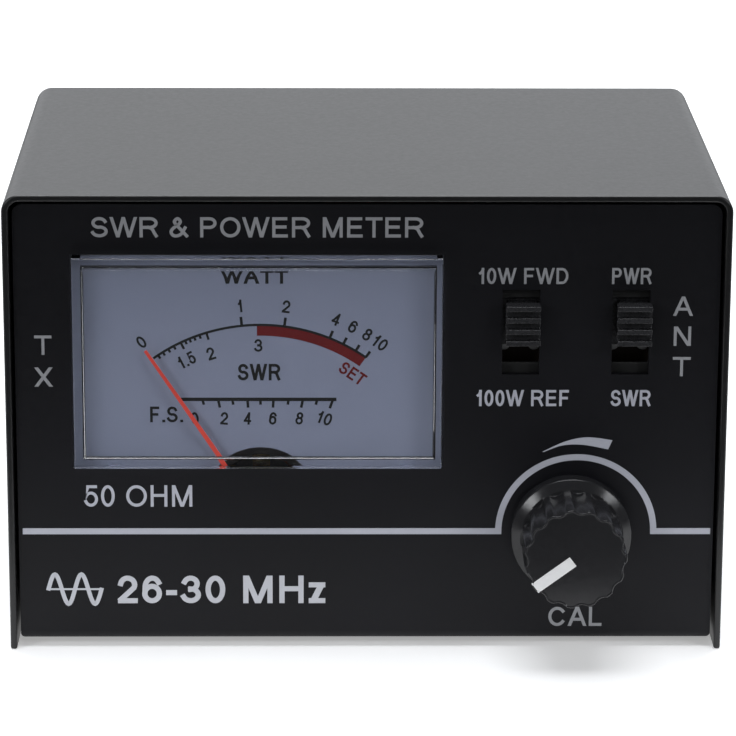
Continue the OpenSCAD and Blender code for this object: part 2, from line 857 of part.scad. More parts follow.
module cal_pot_track() {
    color([0.10, 0.10, 0.10]) difference() {
        bar_y([knob_x, knob_z], pot_cavity_back - 0.4, pot_cavity_back, 7.2);
        bar_y([knob_x, knob_z], pot_cavity_back - 0.4 - cut, pot_cavity_back + cut, 2.5);
        at_pot_pins() bar_y([0, 0], pot_cavity_back - cut, pot_cavity_back + cut, pot_pin_r + 0.05);
    }
}

module cal_pot_nut() {
    color([0.78, 0.78, 0.78]) difference() {
        hex_y([knob_x, knob_z], front_y - 2.6, front_y - 0.65, 10);
        bar_y([knob_x, knob_z], front_y - 2.6 - cut, front_y + cut, bushing_r + slack);
    }
}

module cal_pot_washer() {
    color([0.74, 0.74, 0.74]) difference() {
        bar_y([knob_x, knob_z], front_y - 0.6, front_y - 0.05, 5.5);
        bar_y([knob_x, knob_z], front_y - cut, front_y + cut, bushing_r + slack);
    }
}

module cal_pot_terminals() {
    color([0.78, 0.78, 0.76]) at_pot_pins()
        bar_y([0, 0], pot_cavity_back - 0.3, control_y + board_t + pin_stub, pot_pin_r);
}

module cal_knob() {
    color([0.09, 0.09, 0.10]) translate([knob_x, 0, knob_z]) rotate([0, -pointer_rest, 0])
        difference() {
            union() {
                bar_y([0, 0], skirt_top, knob_base, skirt_r);
                cone_y([0, 0], chamfer_top, skirt_top, knob_r + 0.15, skirt_r);
                slab_y(knob_face, chamfer_top) difference() {
                    circle(knob_r);
                    for (i = [0 : flutes - 1]) rotate((i + 0.5) * 360 / flutes)
                        translate([0, knob_r + flute_r - flute_depth]) circle(flute_r);
                }
            }
            bar_y([0, 0], knob_hollow_y, knob_base + cut, knob_hollow_r);
            difference() {
                bar_y([0, 0], shaft_front - 0.5, knob_base, shaft_r + slack);
                box([-shaft_r, shaft_front - cut, shaft_flat + slack],
                    [shaft_r, knob_hollow_y, shaft_r + cut]);
            }
            box([-pointer_w / 2 - slack, knob_face - cut, pointer_from - slack],
                [pointer_w / 2 + slack, knob_face + pointer_t + slack, knob_r + cut]);
        }
}

module cal_knob_pointer() {
    color([0.92, 0.92, 0.92]) translate([knob_x, 0, knob_z]) rotate([0, -pointer_rest, 0])
        box([-pointer_w / 2, knob_face, pointer_from],
            [pointer_w / 2, knob_face + pointer_t, knob_r - 0.15]);
}

// ---- Coaxial sockets ----

module socket_shell(side) {
    centre = [side * socket_x, socket_z];
    end = rear_y + barrel_end;
    color([0.80, 0.81, 0.83]) difference() {
        union() {
            translate([centre[0], 0, centre[1]]) slab_y(rear_y, rear_y + flange_t)
                rounded_square(flange_w, 1.5);
            bar_y(centre, rear_y, end, barrel_r);
            bar_y(centre, collar_front, rear_y, collar_r);
        }
        bar_y(centre, collar_front - cut, end + cut, barrel_bore_r);
        for (turn = [45, 135]) translate([centre[0], end, centre[1]]) rotate([0, turn, 0])
            cube([3 * barrel_r, 2, 1.6], center = true);
        at_flange_holes() bar_y([0, 0], rear_y - cut, rear_y + flange_t + cut, m3_hole_r);
    }
}

module socket_insulator(side) {
    centre = [side * socket_x, socket_z];
    color([0.93, 0.93, 0.90]) difference() {
        bar_y(centre, insulator_front, insulator_face, barrel_bore_r - slack);
        bar_y(centre, insulator_front - cut, insulator_face + cut, contact_r + slack);
    }
}

module socket_contact(side) {
    centre = [side * socket_x, socket_z];
    color([0.83, 0.69, 0.38]) difference() {
        union() {
            bar_y(centre, contact_front, insulator_face, contact_r);
            bar_y(centre, tail_front, contact_front, tail_r);
        }
        bar_y(centre, insulator_face - contact_depth, insulator_face + cut, contact_bore_r);
    }
}

module tx_socket_shell() {
    socket_shell(-1);
}

module tx_socket_insulator() {
    socket_insulator(-1);
}

module tx_socket_contact() {
    socket_contact(-1);
}

module ant_socket_shell() {
    socket_shell(1);
}

module ant_socket_insulator() {
    socket_insulator(1);
}

module ant_socket_contact() {
    socket_contact(1);
}

module socket_screws() {
    color([0.76, 0.77, 0.79]) at_flange_holes()
        pan_screw([0, 0], rear_y + flange_t, 1, m3_head_r, m3_head_h, m3_r, m3_len);
}

lug_at = [-socket_x + hole_pitch / 2, socket_z - hole_pitch / 2];

// Distance that a nut sits off the wall, where the lug lies under it
function lug_lift(side, sx, sz) = side == -1 && sx == 1 && sz == -1 ? lug_t : 0;

module socket_nuts() {
    color([0.74, 0.75, 0.77]) for (side = [-1, 1], sx = [-1, 1], sz = [-1, 1]) {
        at = [side * socket_x + sx * hole_pitch / 2, socket_z + sz * hole_pitch / 2];
        face = wall_in - lug_lift(side, sx, sz);
        difference() {
            hex_y(at, face - nut_h, face, nut_across);
            bar_y(at, face - nut_h - cut, face + cut, m3_r + slack);
        }
    }
}

module ground_lug() {
    tail_x = lug_at[0] + 7.4;
    color([0.80, 0.78, 0.70]) difference() {
        union() {
            bar_y(lug_at, wall_in - lug_t, wall_in, 3.4);
            box([lug_at[0], wall_in - lug_t, lug_at[1] - 1.6], [tail_x, wall_in, lug_at[1] + 1.6]);
            box([tail_x - lug_t, wall_in - 4, lug_at[1] - 1.6], [tail_x, wall_in, lug_at[1] + 1.6]);
        }
        bar_y(lug_at, wall_in - lug_t - cut, wall_in + cut, m3_hole_r);
    }
}

// ---- Line coupler ----

module coupler_board() {
    color([0.13, 0.35, 0.20]) difference() {
        box([-coupler_w / 2, coupler_y, coupler_z0],
            [coupler_w / 2, coupler_y + board_t, coupler_z1]);
        for (side = [-1, 1])
            bar_y([side * socket_x, socket_z], coupler_y - cut, coupler_y + board_t + cut,
                tail_r + 0.1);
    }
}

module coupler_lines() {
    through_half = socket_x - tail_r - 0.3;
    pickup_half = 17;
    color([0.80, 0.50, 0.28]) {
        box([-through_half, coupler_y - 0.15, socket_z - 1.5],
            [through_half, coupler_y, socket_z + 1.5]);
        for (side = [-1, 1])
            box([-pickup_half, coupler_y - 0.15, socket_z + side * 4 - 0.6],
                [pickup_half, coupler_y, socket_z + side * 4 + 0.6]);
    }
}

module detector_diodes() {
    color([0.75, 0.35, 0.22]) for (side = [-1, 1])
        axial_part([side * 13, socket_z + 9], 0.95, 3.8, 9);
}

module load_resistors() {
    color([0.72, 0.62, 0.45]) for (side = [-1, 1])
        axial_part([side * 13, socket_z - 9], 1.2, 6.2, 11);
}

module bypass_capacitors() {
    disc_z = socket_z + 9.5;
    color([0.78, 0.52, 0.20]) for (side = [-1, 1]) {
        translate([side * 4, coupler_y - 4.2, disc_z]) rotate([0, 90, 0])
            cylinder(h = 1.6, r = 2.6, center = true);
        for (leg = [-1, 1])
            bar_y([side * 4, disc_z + leg * 1.3], coupler_y - 3.5, coupler_y, 0.3);
    }
}

// Square trimmer body with a round slotted adjuster, its face towards face_y
module trimmer(at, back, dir) {
    front = back + dir * 3.6;
    difference() {
        union() {
            box([at[0] - 3.2, min(back, front), at[1] - 3.2],
                [at[0] + 3.2, max(back, front), at[1] + 3.2]);
            bar_y(at, min(front, front + dir * 0.6), max(front, front + dir * 0.6), 2.2);
        }
        translate([at[0], front + dir * 0.6, at[1]]) cube([3.4, 1, 0.6], center = true);
    }
}

module trimmers() {
    color([0.15, 0.35, 0.65]) {
        trimmer([0, socket_z - 9], coupler_y, -1);
        trimmer([20, 30], control_y + board_t, 1);
        trimmer([34, 29], control_y + board_t, 1);
    }
}

// ---- Wiring ----

module meter_wires() {
    color([0.65, 0.08, 0.06]) wire(meter_plus_route);
    color([0.06, 0.06, 0.06]) wire(meter_minus_route);
}

module signal_wires() {
    color([0.80, 0.65, 0.10]) wire(forward_route);
    color([0.15, 0.25, 0.65]) wire(reflected_route);
}

module ground_wire() {
    color([0.06, 0.06, 0.06]) wire(ground_route);
}

cover();
chassis();
cover_screws();
meter_lens();
meter_housing();
scale_plate();
scale_screws();
core_magnet();
yoke_ring();
core_webs();
moving_coil();
coil_staffs();
needle();
front_bridge();
rear_bridge();
bridge_spacers();
bridge_screws();
pivot_jewels();
hairsprings();
meter_terminals();
range_switch_frame();
range_switch_slider();
range_switch_contacts();
range_switch_base();
range_switch_terminals();
mode_switch_frame();
mode_switch_slider();
mode_switch_contacts();
mode_switch_base();
mode_switch_terminals();
control_board();
cal_pot_body();
cal_pot_bushing();
cal_pot_shaft();
cal_pot_wiper();
cal_pot_track();
cal_pot_nut();
cal_pot_washer();
cal_pot_terminals();
cal_knob();
cal_knob_pointer();
tx_socket_shell();
tx_socket_insulator();
tx_socket_contact();
ant_socket_shell();
ant_socket_insulator();
ant_socket_contact();
socket_screws();
socket_nuts();
ground_lug();
coupler_board();
coupler_lines();
detector_diodes();
load_resistors();
bypass_capacitors();
trimmers();
meter_wires();
signal_wires();
ground_wire();
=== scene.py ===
import math

import bmesh
import bpy
from mathutils import Matrix, Vector


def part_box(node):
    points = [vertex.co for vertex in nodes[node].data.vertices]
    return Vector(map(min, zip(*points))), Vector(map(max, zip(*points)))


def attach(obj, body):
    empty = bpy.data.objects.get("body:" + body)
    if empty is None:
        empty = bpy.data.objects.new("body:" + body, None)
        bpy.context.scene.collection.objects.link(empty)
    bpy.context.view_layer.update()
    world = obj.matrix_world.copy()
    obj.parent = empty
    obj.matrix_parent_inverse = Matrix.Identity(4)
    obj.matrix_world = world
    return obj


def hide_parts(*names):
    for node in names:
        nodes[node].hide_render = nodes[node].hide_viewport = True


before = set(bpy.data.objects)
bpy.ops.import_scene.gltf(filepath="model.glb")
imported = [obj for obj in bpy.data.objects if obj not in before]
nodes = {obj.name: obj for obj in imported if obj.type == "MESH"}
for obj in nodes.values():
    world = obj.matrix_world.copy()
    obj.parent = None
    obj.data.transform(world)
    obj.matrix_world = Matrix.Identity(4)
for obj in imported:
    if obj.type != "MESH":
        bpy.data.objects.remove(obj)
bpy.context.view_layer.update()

# Lengths in the tables below are millimetres; MM turns them into metres.
MM = 0.001

# ---- Places taken from the CAD model, in millimetres ----


def node_box(name):
    """Lowest and highest corners of a CAD node, in millimetres."""
    low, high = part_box(name)
    return low / MM, high / MM


chassis_low, chassis_high = node_box("chassis")
PANEL_Y = chassis_low.y
REAR_Y = chassis_high.y
SCALE_Y = node_box("scale_plate")[0].y
knob_low, knob_high = node_box("cal_knob")
KNOB_X = (knob_low.x + knob_high.x) / 2
KNOB_Z = (knob_low.z + knob_high.z) / 2
KNOB_FACE = knob_low.y
KNOB_BASE = knob_high.y
SKIRT_R = (knob_high.x - knob_low.x) / 2
shell_low, shell_high = node_box("ant_socket_shell")
SOCKET_X = (shell_low.x + shell_high.x) / 2
SOCKET_Z = (shell_low.z + shell_high.z) / 2
SOCKET_FRONT = shell_low.y
BARREL_END = shell_high.y
FLANGE_W = shell_high.x - shell_low.x

# ---- Materials ----


class Shader:
    """Small helper round a material's node tree."""

    def __init__(self, name):
        self.material = bpy.data.materials.new(name)
        self.material.use_nodes = True
        self.tree = self.material.node_tree
        self.bsdf = self.tree.nodes["Principled BSDF"]
        coords = self.tree.nodes.new("ShaderNodeTexCoord")
        self.coords = coords.outputs["Object"]

    def link(self, source, target):
        self.tree.links.new(source, target)

    def stretched(self, scale):
        """Object coordinates stretched by a scale for each axis."""
        mapping = self.tree.nodes.new("ShaderNodeMapping")
        mapping.inputs["Scale"].default_value = scale
        self.link(self.coords, mapping.inputs["Vector"])
        return mapping.outputs["Vector"]

    def noise(self, scale, detail=3.0, rough=0.5, vector=None):
        node = self.tree.nodes.new("ShaderNodeTexNoise")
        node.inputs["Scale"].default_value = scale
        node.inputs["Detail"].default_value = detail
        node.inputs["Roughness"].default_value = rough
        self.link(vector or self.coords, node.inputs["Vector"])
        return node.outputs["Fac"]

    def spread(self, factor, low, high, start=0.3, end=0.7):
        """Maps a noise factor to a range of values."""
        node = self.tree.nodes.new("ShaderNodeMapRange")
        node.inputs["From Min"].default_value = start
        node.inputs["From Max"].default_value = end
        node.inputs["To Min"].default_value = low
        node.inputs["To Max"].default_value = high
        self.link(factor, node.inputs["Value"])
        return node.outputs["Result"]

    def blend(self, factor, dark, light):
        node = self.tree.nodes.new("ShaderNodeMix")
        node.data_type = "RGBA"
        node.inputs["A"].default_value = (*dark, 1)
        node.inputs["B"].default_value = (*light, 1)
        self.link(factor, node.inputs["Factor"])
        return node.outputs["Result"]

    def bump(self, height, strength, distance_mm):
        node = self.tree.nodes.new("ShaderNodeBump")
        node.inputs["Strength"].default_value = strength
        node.inputs["Distance"].default_value = distance_mm * MM
        self.link(height, node.inputs["Height"])
        self.link(node.outputs["Normal"], self.bsdf.inputs["Normal"])


COAT_ROUGHNESS = 0.25


def surface(name, dark, light, rough, grain, bump, metal=0.0, ior=1.5, coat=0.0, stretch=None,
            mottle=60.0, glow=0.0):
    """A moulded, painted or metal surface: mottled colour, grain in roughness and relief.

    rough is (smoothest, roughest), grain and mottle are the fine and the broad noise's scales
    per metre, and bump is the relief's height in millimetres.
    """
    shader = Shader(name)
    vector = shader.stretched(stretch) if stretch else shader.coords
    fine = shader.noise(grain, detail=4.0, rough=0.55, vector=vector)
    broad = shader.noise(mottle, detail=2.0)
    tint = shader.tree.nodes.new("ShaderNodeMath")
    tint.operation = "MULTIPLY_ADD"
    tint.inputs[1].default_value = 0.5
    shader.link(fine, tint.inputs[0])
    shader.link(shader.spread(broad, 0.0, 0.5), tint.inputs[2])
    shader.link(shader.blend(tint.outputs[0], dark, light), shader.bsdf.inputs["Base Color"])
    shader.link(shader.spread(fine, *rough), shader.bsdf.inputs["Roughness"])
    shader.bump(fine, 1.0, bump)
    shader.bsdf.inputs["Metallic"].default_value = metal
    shader.bsdf.inputs["IOR"].default_value = ior
    if coat:
        shader.bsdf.inputs["Coat Weight"].default_value = coat
        shader.bsdf.inputs["Coat Roughness"].default_value = COAT_ROUGHNESS
    if glow:
        shader.bsdf.inputs["Emission Color"].default_value = (1, 1, 1, 1)
        shader.bsdf.inputs["Emission Strength"].default_value = glow
    return shader.material


def grey(value, tint=0.0):
    """A near-neutral colour, with a touch of blue when tint is above zero."""
    return (value, value, value * (1 + tint))


def lens_plastic():
    """Clear moulded plastic, with a faint ripple in its colour and haze in its roughness."""
    shader = Shader("clear plastic")
    ripple = shader.noise(90.0, detail=2.0)
    haze = shader.noise(700.0, detail=4.0)
    shader.link(
        shader.blend(ripple, (0.93, 0.945, 0.97), (0.97, 0.975, 0.985)),
        shader.bsdf.inputs["Base Color"],
    )
    shader.link(shader.spread(haze, 0.0, 0.03), shader.bsdf.inputs["Roughness"])
    shader.bsdf.inputs["Transmission Weight"].default_value = 1.0
    shader.bsdf.inputs["IOR"].default_value = 1.49
    return shader.material


def banded(name, body, band, pitch_mm, band_share):
    """Small component body with rings of another colour along X; band_share is their part."""
    shader = Shader(name)
    split = shader.tree.nodes.new("ShaderNodeSeparateXYZ")
    shader.link(shader.coords, split.inputs[0])
    wrap = shader.tree.nodes.new("ShaderNodeMath")
    wrap.operation = "PINGPONG"
    wrap.inputs[1].default_value = pitch_mm * MM
    shader.link(split.outputs["X"], wrap.inputs[0])
    edge = shader.tree.nodes.new("ShaderNodeMath")
    edge.operation = "GREATER_THAN"
    edge.inputs[1].default_value = pitch_mm * MM * (1 - band_share)
    shader.link(wrap.outputs[0], edge.inputs[0])
    shader.link(shader.blend(edge.outputs[0], body, band), shader.bsdf.inputs["Base Color"])
    grain = shader.noise(900.0)
    shader.link(shader.spread(grain, 0.25, 0.45), shader.bsdf.inputs["Roughness"])
    shader.bump(grain, 0.6, 0.02)
    return shader.material


# Distance between a wave texture's bands at scale 1, in metres
WAVE_PERIOD = math.pi / 10


def winding(name, dark, light, pitch_mm):
    """Fine parallel turns of wire."""
    shader = Shader(name)
    wave = shader.tree.nodes.new("ShaderNodeTexWave")
    wave.inputs["Scale"].default_value = WAVE_PERIOD / (pitch_mm * MM)
    wave.inputs["Distortion"].default_value = 0.6
    shader.link(shader.coords, wave.inputs["Vector"])
    shader.link(shader.blend(wave.outputs["Fac"], dark, light), shader.bsdf.inputs["Base Color"])
    shader.bsdf.inputs["Metallic"].default_value = 0.8
    shader.link(shader.spread(wave.outputs["Fac"], 0.45, 0.25), shader.bsdf.inputs["Roughness"])
    shader.bump(wave.outputs["Fac"], 0.8, 0.05)
    return shader.material


PAINT = surface(
    "cover paint", grey(0.007), grey(0.012, 0.05), (0.28, 0.34), 1500, 0.002, ior=1.45, mottle=35)
PANEL = surface(
    "panel paint", grey(0.0036, 0.3), grey(0.0064, 0.4), (0.42, 0.56), 1900, 0.010, ior=1.30, mottle=25)
INK_PALE = surface(
    "panel ink", (0.43, 0.44, 0.50), (0.52, 0.53, 0.59), (0.55, 0.75), 2600, 0.006, ior=1.3)
# A darker copy of the panel ink: painted shade on the legends high on the panel (the title, 10W FWD and
# PWR), where less light falls; CAL and the socket letters are printed with it too
INK_DIM = surface(
    "dim panel ink", (0.27, 0.275, 0.29), (0.34, 0.345, 0.36), (0.55, 0.75), 2600, 0.006, ior=1.3)
INK_WHITE = surface(
    "white panel ink", (0.52, 0.53, 0.57), (0.60, 0.61, 0.65), (0.5, 0.7), 2600, 0.006, ior=1.3)
SCALE = surface("scale face", (0.20, 0.22, 0.295), (0.235, 0.255, 0.335), (0.6, 0.75), 1600, 0.004,
                ior=1.25, mottle=20)
SCALE_BLACK = surface(
    "scale black ink", grey(0.006), grey(0.012), (0.6, 0.75), 2600, 0.004, ior=1.2)
SCALE_RED = surface(
    "scale red ink", (0.10, 0.004, 0.005), (0.13, 0.007, 0.008), (0.6, 0.75), 2600, 0.004, ior=1.2)
NEEDLE = surface(
    "needle red", (0.58, 0.045, 0.03), (0.68, 0.07, 0.045), (0.45, 0.6), 2200, 0.004, ior=1.3)
BLACK_PLASTIC = surface("black plastic", grey(0.010), grey(0.018), (0.40, 0.55), 1300, 0.014)
SLIDER = surface("slider plastic", grey(0.014, 0.1), grey(0.026, 0.1), (0.22, 0.34), 1700, 0.010)
KNOB = surface(
    "knob plastic", grey(0.012, 0.1), grey(0.020, 0.1), (0.16, 0.24), 1500, 0.005, ior=1.42)
POINTER = surface("pointer white", grey(0.80), grey(0.90), (0.35, 0.5), 1500, 0.006)
STEEL = surface("zinc plated steel", grey(0.48, 0.06), grey(0.66, 0.04), (0.22, 0.36), 1400, 0.008,
                metal=1.0, stretch=(1, 1, 0.25))
TIN = surface("tinned metal", grey(0.52), grey(0.68), (0.28, 0.45), 1300, 0.012, metal=1.0)
NICKEL = surface("nickel plate", (0.60, 0.58, 0.54), (0.74, 0.72, 0.68), (0.14, 0.24), 1100, 0.004,
                 metal=1.0, stretch=(1, 0.3, 1))
BRASS = surface("brass", (0.58, 0.40, 0.14), (0.74, 0.54, 0.22), (0.22, 0.38), 1200, 0.008,
                metal=1.0, stretch=(0.3, 1, 1))
GOLD = surface(
    "gold flash", (0.78, 0.56, 0.20), (0.90, 0.68, 0.28), (0.16, 0.26), 1200, 0.004, metal=1.0)
BRONZE = surface(
    "spring bronze", (0.46, 0.26, 0.10), (0.62, 0.38, 0.16), (0.25, 0.4), 1500, 0.006, metal=1.0)
MAGNET = surface("magnet alloy", grey(0.14), grey(0.24), (0.35, 0.55), 900, 0.020, metal=1.0)
IRON = surface("soft iron", grey(0.10), grey(0.18), (0.35, 0.5), 1000, 0.016, metal=1.0)
COPPER = surface("copper strip", (0.62, 0.27, 0.13), (0.78, 0.40, 0.22), (0.25, 0.42), 1100, 0.008,
                 metal=1.0, stretch=(0.3, 1, 1))
ALUMINIUM = surface(
    "drawn aluminium", grey(0.50), grey(0.64), (0.28, 0.42), 1200, 0.008, metal=1.0, stretch=(1, 0.25, 1))
JEWEL = surface("jewel", (0.30, 0.01, 0.03), (0.45, 0.03, 0.06), (0.08, 0.16), 700, 0.002)
FRAME_BLACK = surface("blackened steel", grey(0.008), grey(0.016), (0.38, 0.55), 1400, 0.010)
PHENOLIC = surface(
    "phenolic", (0.022, 0.012, 0.007), (0.04, 0.022, 0.012), (0.45, 0.6), 1000, 0.012, stretch=(1, 1, 0.2))
BOARD_TAN = surface(
    "tan laminate", (0.30, 0.18, 0.07), (0.42, 0.27, 0.12), (0.4, 0.55), 900, 0.010, stretch=(1, 1, 0.3))
BOARD_GREEN = surface(
    "green laminate", (0.012, 0.085, 0.035), (0.03, 0.15, 0.07), (0.3, 0.45), 1200, 0.010, coat=0.3)
# Black of the strips in the rear gaps: painted shade where light would leak in
GAP_SHADE_BLACK = surface("gap shade black", grey(0.008), grey(0.016), (0.75, 0.9), 700, 0.030)
CARBON = surface("carbon track", grey(0.010), grey(0.024), (0.45, 0.65), 1600, 0.008)
CREAM = surface("cream plastic", (0.58, 0.56, 0.46), (0.68, 0.66, 0.56), (0.4, 0.55), 1200, 0.010)
PTFE = surface("socket insulator", (0.76, 0.76, 0.72), (0.86, 0.86, 0.83), (0.4, 0.52), 1000, 0.010)
CERAMIC = surface(
    "dipped ceramic", (0.46, 0.20, 0.04), (0.60, 0.30, 0.07), (0.25, 0.45), 700, 0.030, coat=0.3)
BLUE = surface("blue plastic", (0.02, 0.07, 0.30), (0.04, 0.12, 0.42), (0.35, 0.5), 1200, 0.010)
RED_WIRE = surface(
    "wire insulation", (0.32, 0.012, 0.008), (0.45, 0.03, 0.02), (0.3, 0.45), 900, 0.010)
BLACK_WIRE = surface("black insulation", grey(0.010), grey(0.02), (0.3, 0.45), 900, 0.010)
DIODE = banded("diode glass", (0.42, 0.11, 0.05), (0.01, 0.01, 0.01), 14.4, 0.03)
RESISTOR = banded("resistor body", (0.50, 0.38, 0.22), (0.20, 0.05, 0.02), 1.1, 0.35)
WINDING = winding("coil winding", (0.34, 0.10, 0.035), (0.62, 0.24, 0.09), 0.2375)
LENS = lens_plastic()

# The carried-over CAD nodes of each material, with the width of their edges' rounding in mm
CAD_FINISH = (
    (PAINT, {"cover": 0.35}),
    (PANEL, {"chassis": 0.14}),
    (STEEL, {"cover_screws": 0.10, "coil_staffs": 0.06, "bridge_screws": 0.10,
             "socket_screws": 0.16, "socket_nuts": 0.16}),
    (BLACK_PLASTIC, {"meter_housing": 0.25}),
    (SCALE, {"scale_plate": 0.04, "scale_screws": 0.10}),
    (MAGNET, {"core_magnet": 0.15}),
    (IRON, {"yoke_ring": 0.12}),
    (BRASS, {"core_webs": 0.08, "front_bridge": 0.08, "rear_bridge": 0.08, "bridge_spacers": 0.10,
             "meter_terminals": 0.08, "range_switch_contacts": 0.10, "mode_switch_contacts": 0.10}),
    (WINDING, {"moving_coil": 0.20}),
    (NEEDLE, {"needle": 0.04}),
    (JEWEL, {"pivot_jewels": 0.10}),
    (BRONZE, {"hairsprings": 0.02}),
    (BOARD_TAN, {"control_board": 0.08}),
    (ALUMINIUM, {"cal_pot_body": 0.30, "cal_pot_shaft": 0.25}),
    (NICKEL, {"cal_pot_bushing": 0.12, "cal_pot_nut": 0.18, "cal_pot_washer": 0.08}),
    (CREAM, {"cal_pot_wiper": 0.12}),
    (CARBON, {"cal_pot_track": 0.06}),
    (TIN, {"cal_pot_terminals": 0.10, "ground_lug": 0.08, "range_switch_terminals": 0.08,
           "mode_switch_terminals": 0.08}),
    (POINTER, {"cal_knob_pointer": 0.06}),
    (BOARD_GREEN, {"coupler_board": 0.08}),
    (COPPER, {"coupler_lines": 0.03}),
    (DIODE, {"detector_diodes": 0.15}),
    (RESISTOR, {"load_resistors": 0.25}),
    (CERAMIC, {"bypass_capacitors": 0.30}),
    (BLUE, {"trimmers": 0.15}),
    (RED_WIRE, {"meter_wires": 0.05, "signal_wires": 0.05}),
    (BLACK_WIRE, {"ground_wire": 0.05}),
    (PTFE, {"tx_socket_insulator": 0.15, "ant_socket_insulator": 0.15}),
    (GOLD, {"tx_socket_contact": 0.12, "ant_socket_contact": 0.12}),
    (FRAME_BLACK, {"range_switch_frame": 0.12, "mode_switch_frame": 0.12}),
    (SLIDER, {"range_switch_slider": 0.14, "mode_switch_slider": 0.14}),
    (PHENOLIC, {"range_switch_base": 0.10, "mode_switch_base": 0.10}),
)

# ---- Edge rounding of the carried-over CAD nodes ----


def smooth_by_angle(limit_degrees):
    """Node group that shades smooth except across edges sharper than the limit."""
    group = bpy.data.node_groups.new("smooth by angle", "GeometryNodeTree")
    for way in ("INPUT", "OUTPUT"):
        group.interface.new_socket("Geometry", in_out=way, socket_type="NodeSocketGeometry")
    source = group.nodes.new("NodeGroupInput")
    target = group.nodes.new("NodeGroupOutput")
    clear = group.nodes.new("GeometryNodeRemoveAttribute")
    clear.inputs["Name"].default_value = "custom_normal"
    faces = group.nodes.new("GeometryNodeSetShadeSmooth")
    faces.domain = "FACE"
    faces.inputs["Shade Smooth"].default_value = True
    edges = group.nodes.new("GeometryNodeSetShadeSmooth")
    edges.domain = "EDGE"
    edges.inputs["Shade Smooth"].default_value = False
    angle = group.nodes.new("GeometryNodeInputMeshEdgeAngle")
    sharper = group.nodes.new("FunctionNodeCompare")
    sharper.operation = "GREATER_THAN"
    sharper.inputs["B"].default_value = math.radians(limit_degrees)
    link = group.links.new
    link(source.outputs[0], clear.inputs["Geometry"])
    link(clear.outputs["Geometry"], faces.inputs["Geometry"])
    link(faces.outputs["Geometry"], edges.inputs["Geometry"])
    link(angle.outputs["Unsigned Angle"], sharper.inputs["A"])
    link(sharper.outputs["Result"], edges.inputs["Selection"])
    link(edges.outputs["Geometry"], target.inputs[0])
    return group


# Angles in degrees: where shading breaks, where edges are rounded, and where faces are merged
SHARP_EDGE = 34
BEVEL_FROM = 38
FLAT_WITHIN = 0.3
BEVEL_SEGMENTS = 3
WELD_MM = 0.002
SMOOTHER = smooth_by_angle(SHARP_EDGE)


def round_edges(obj, width_mm, limited=True):
    """Rounds a node's edges; limited keeps the rounding below its shortest edges."""
    weld = obj.modifiers.new("weld", "WELD")
    weld.merge_threshold = WELD_MM * MM
    merge = obj.modifiers.new("flat polygons", "DECIMATE")
    merge.decimate_type = "DISSOLVE"
    merge.angle_limit = math.radians(FLAT_WITHIN)
    bevel = obj.modifiers.new("bevel", "BEVEL")
    bevel.width = width_mm * MM
    bevel.segments = BEVEL_SEGMENTS
    bevel.limit_method = "ANGLE"
    bevel.angle_limit = math.radians(BEVEL_FROM)
    bevel.miter_outer = "MITER_ARC" if limited else "MITER_SHARP"
    bevel.use_clamp_overlap = limited
    bevel.loop_slide = False
    shading = obj.modifiers.new("shading", "NODES")
    shading.node_group = SMOOTHER
    flat = obj.modifiers.new("flat faces", "WEIGHTED_NORMAL")
    flat.keep_sharp = True


for material, widths in CAD_FINISH:
    for name, width in widths.items():
        nodes[name].material_slots[0].material = material
        round_edges(nodes[name], width, limited=name != "cover")

# ---- Making new pieces ----


def new_object(name, data):
    """Puts an object with this data in the scene."""
    made = bpy.data.objects.new(name, data)
    bpy.context.scene.collection.objects.link(made)
    return made


def add_piece(name, mesh, material, body, slot, replaced=()):
    """Turns a mesh in millimetres into a piece of the object."""
    mesh.transform(Matrix.Scale(MM, 4))
    mesh.materials.append(material)
    mesh.update()
    piece = new_object(name, mesh)
    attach(piece, body)
    if replaced:
        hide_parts(*replaced)
    return piece


WELD_PIECE_MM = 0.0005


def finished_mesh(name, shape, smooth_degrees):
    """Turns a bmesh into a mesh with its doubles merged and its normals outward and smooth."""
    bmesh.ops.remove_doubles(shape, verts=shape.verts, dist=WELD_PIECE_MM)
    bmesh.ops.recalc_face_normals(shape, faces=shape.faces)
    mesh = bpy.data.meshes.new(name)
    shape.to_mesh(mesh)
    shape.free()
    mesh.shade_smooth()
    mesh.set_sharp_from_angle(angle=math.radians(smooth_degrees))
    return mesh


def closed_mesh(name, points, faces, smooth_degrees=SHARP_EDGE):
    rough = bpy.data.meshes.new(name)
    rough.from_pydata(points, [], faces)
    shape = bmesh.new()
    shape.from_mesh(rough)
    bpy.data.meshes.remove(rough)
    return finished_mesh(name, shape, smooth_degrees)


def skin(name, loops, smooth_degrees=SHARP_EDGE, ringed=False):
    """Skin through loops of points; its end loops are capped, or joined where it is ringed."""
    points = [point for loop in loops for point in loop]
    count = len(loops[0])
    total = len(loops)
    faces = []
    for row in range(total if ringed else total - 1):
        below = (row + 1) % total
        for i in range(count):
            j = (i + 1) % count
            faces.append((row * count + i, row * count + j, below * count + j, below * count + i))
    if not ringed:
        faces.append(tuple(range(count)))
        faces.append(tuple((total - 1) * count + i for i in range(count)))
    return closed_mesh(name, points, faces, smooth_degrees)


def lathe(name, rings, count, first=0.0, smooth_degrees=SHARP_EDGE, ringed=False):
    """Skin through rings round the Y axis; each is a function from an angle to (x, y, z)."""
    angles = [2 * math.pi * i / count + first for i in range(count)]
    return skin(name, [[ring(a) for a in angles] for ring in rings], smooth_degrees, ringed)


# No corner is tighter than this, so that an outline's points stay apart
SMALLEST_CORNER = 0.02


def arc(centre, radii, start, end, steps=14):
    """Points along an ellipse, with angles in degrees from +X towards +Z."""
    turn = [math.radians(start + (end - start) * i / steps) for i in range(steps + 1)]
    return [(centre[0] + radii[0] * math.cos(a), centre[1] + radii[1] * math.sin(a)) for a in turn]


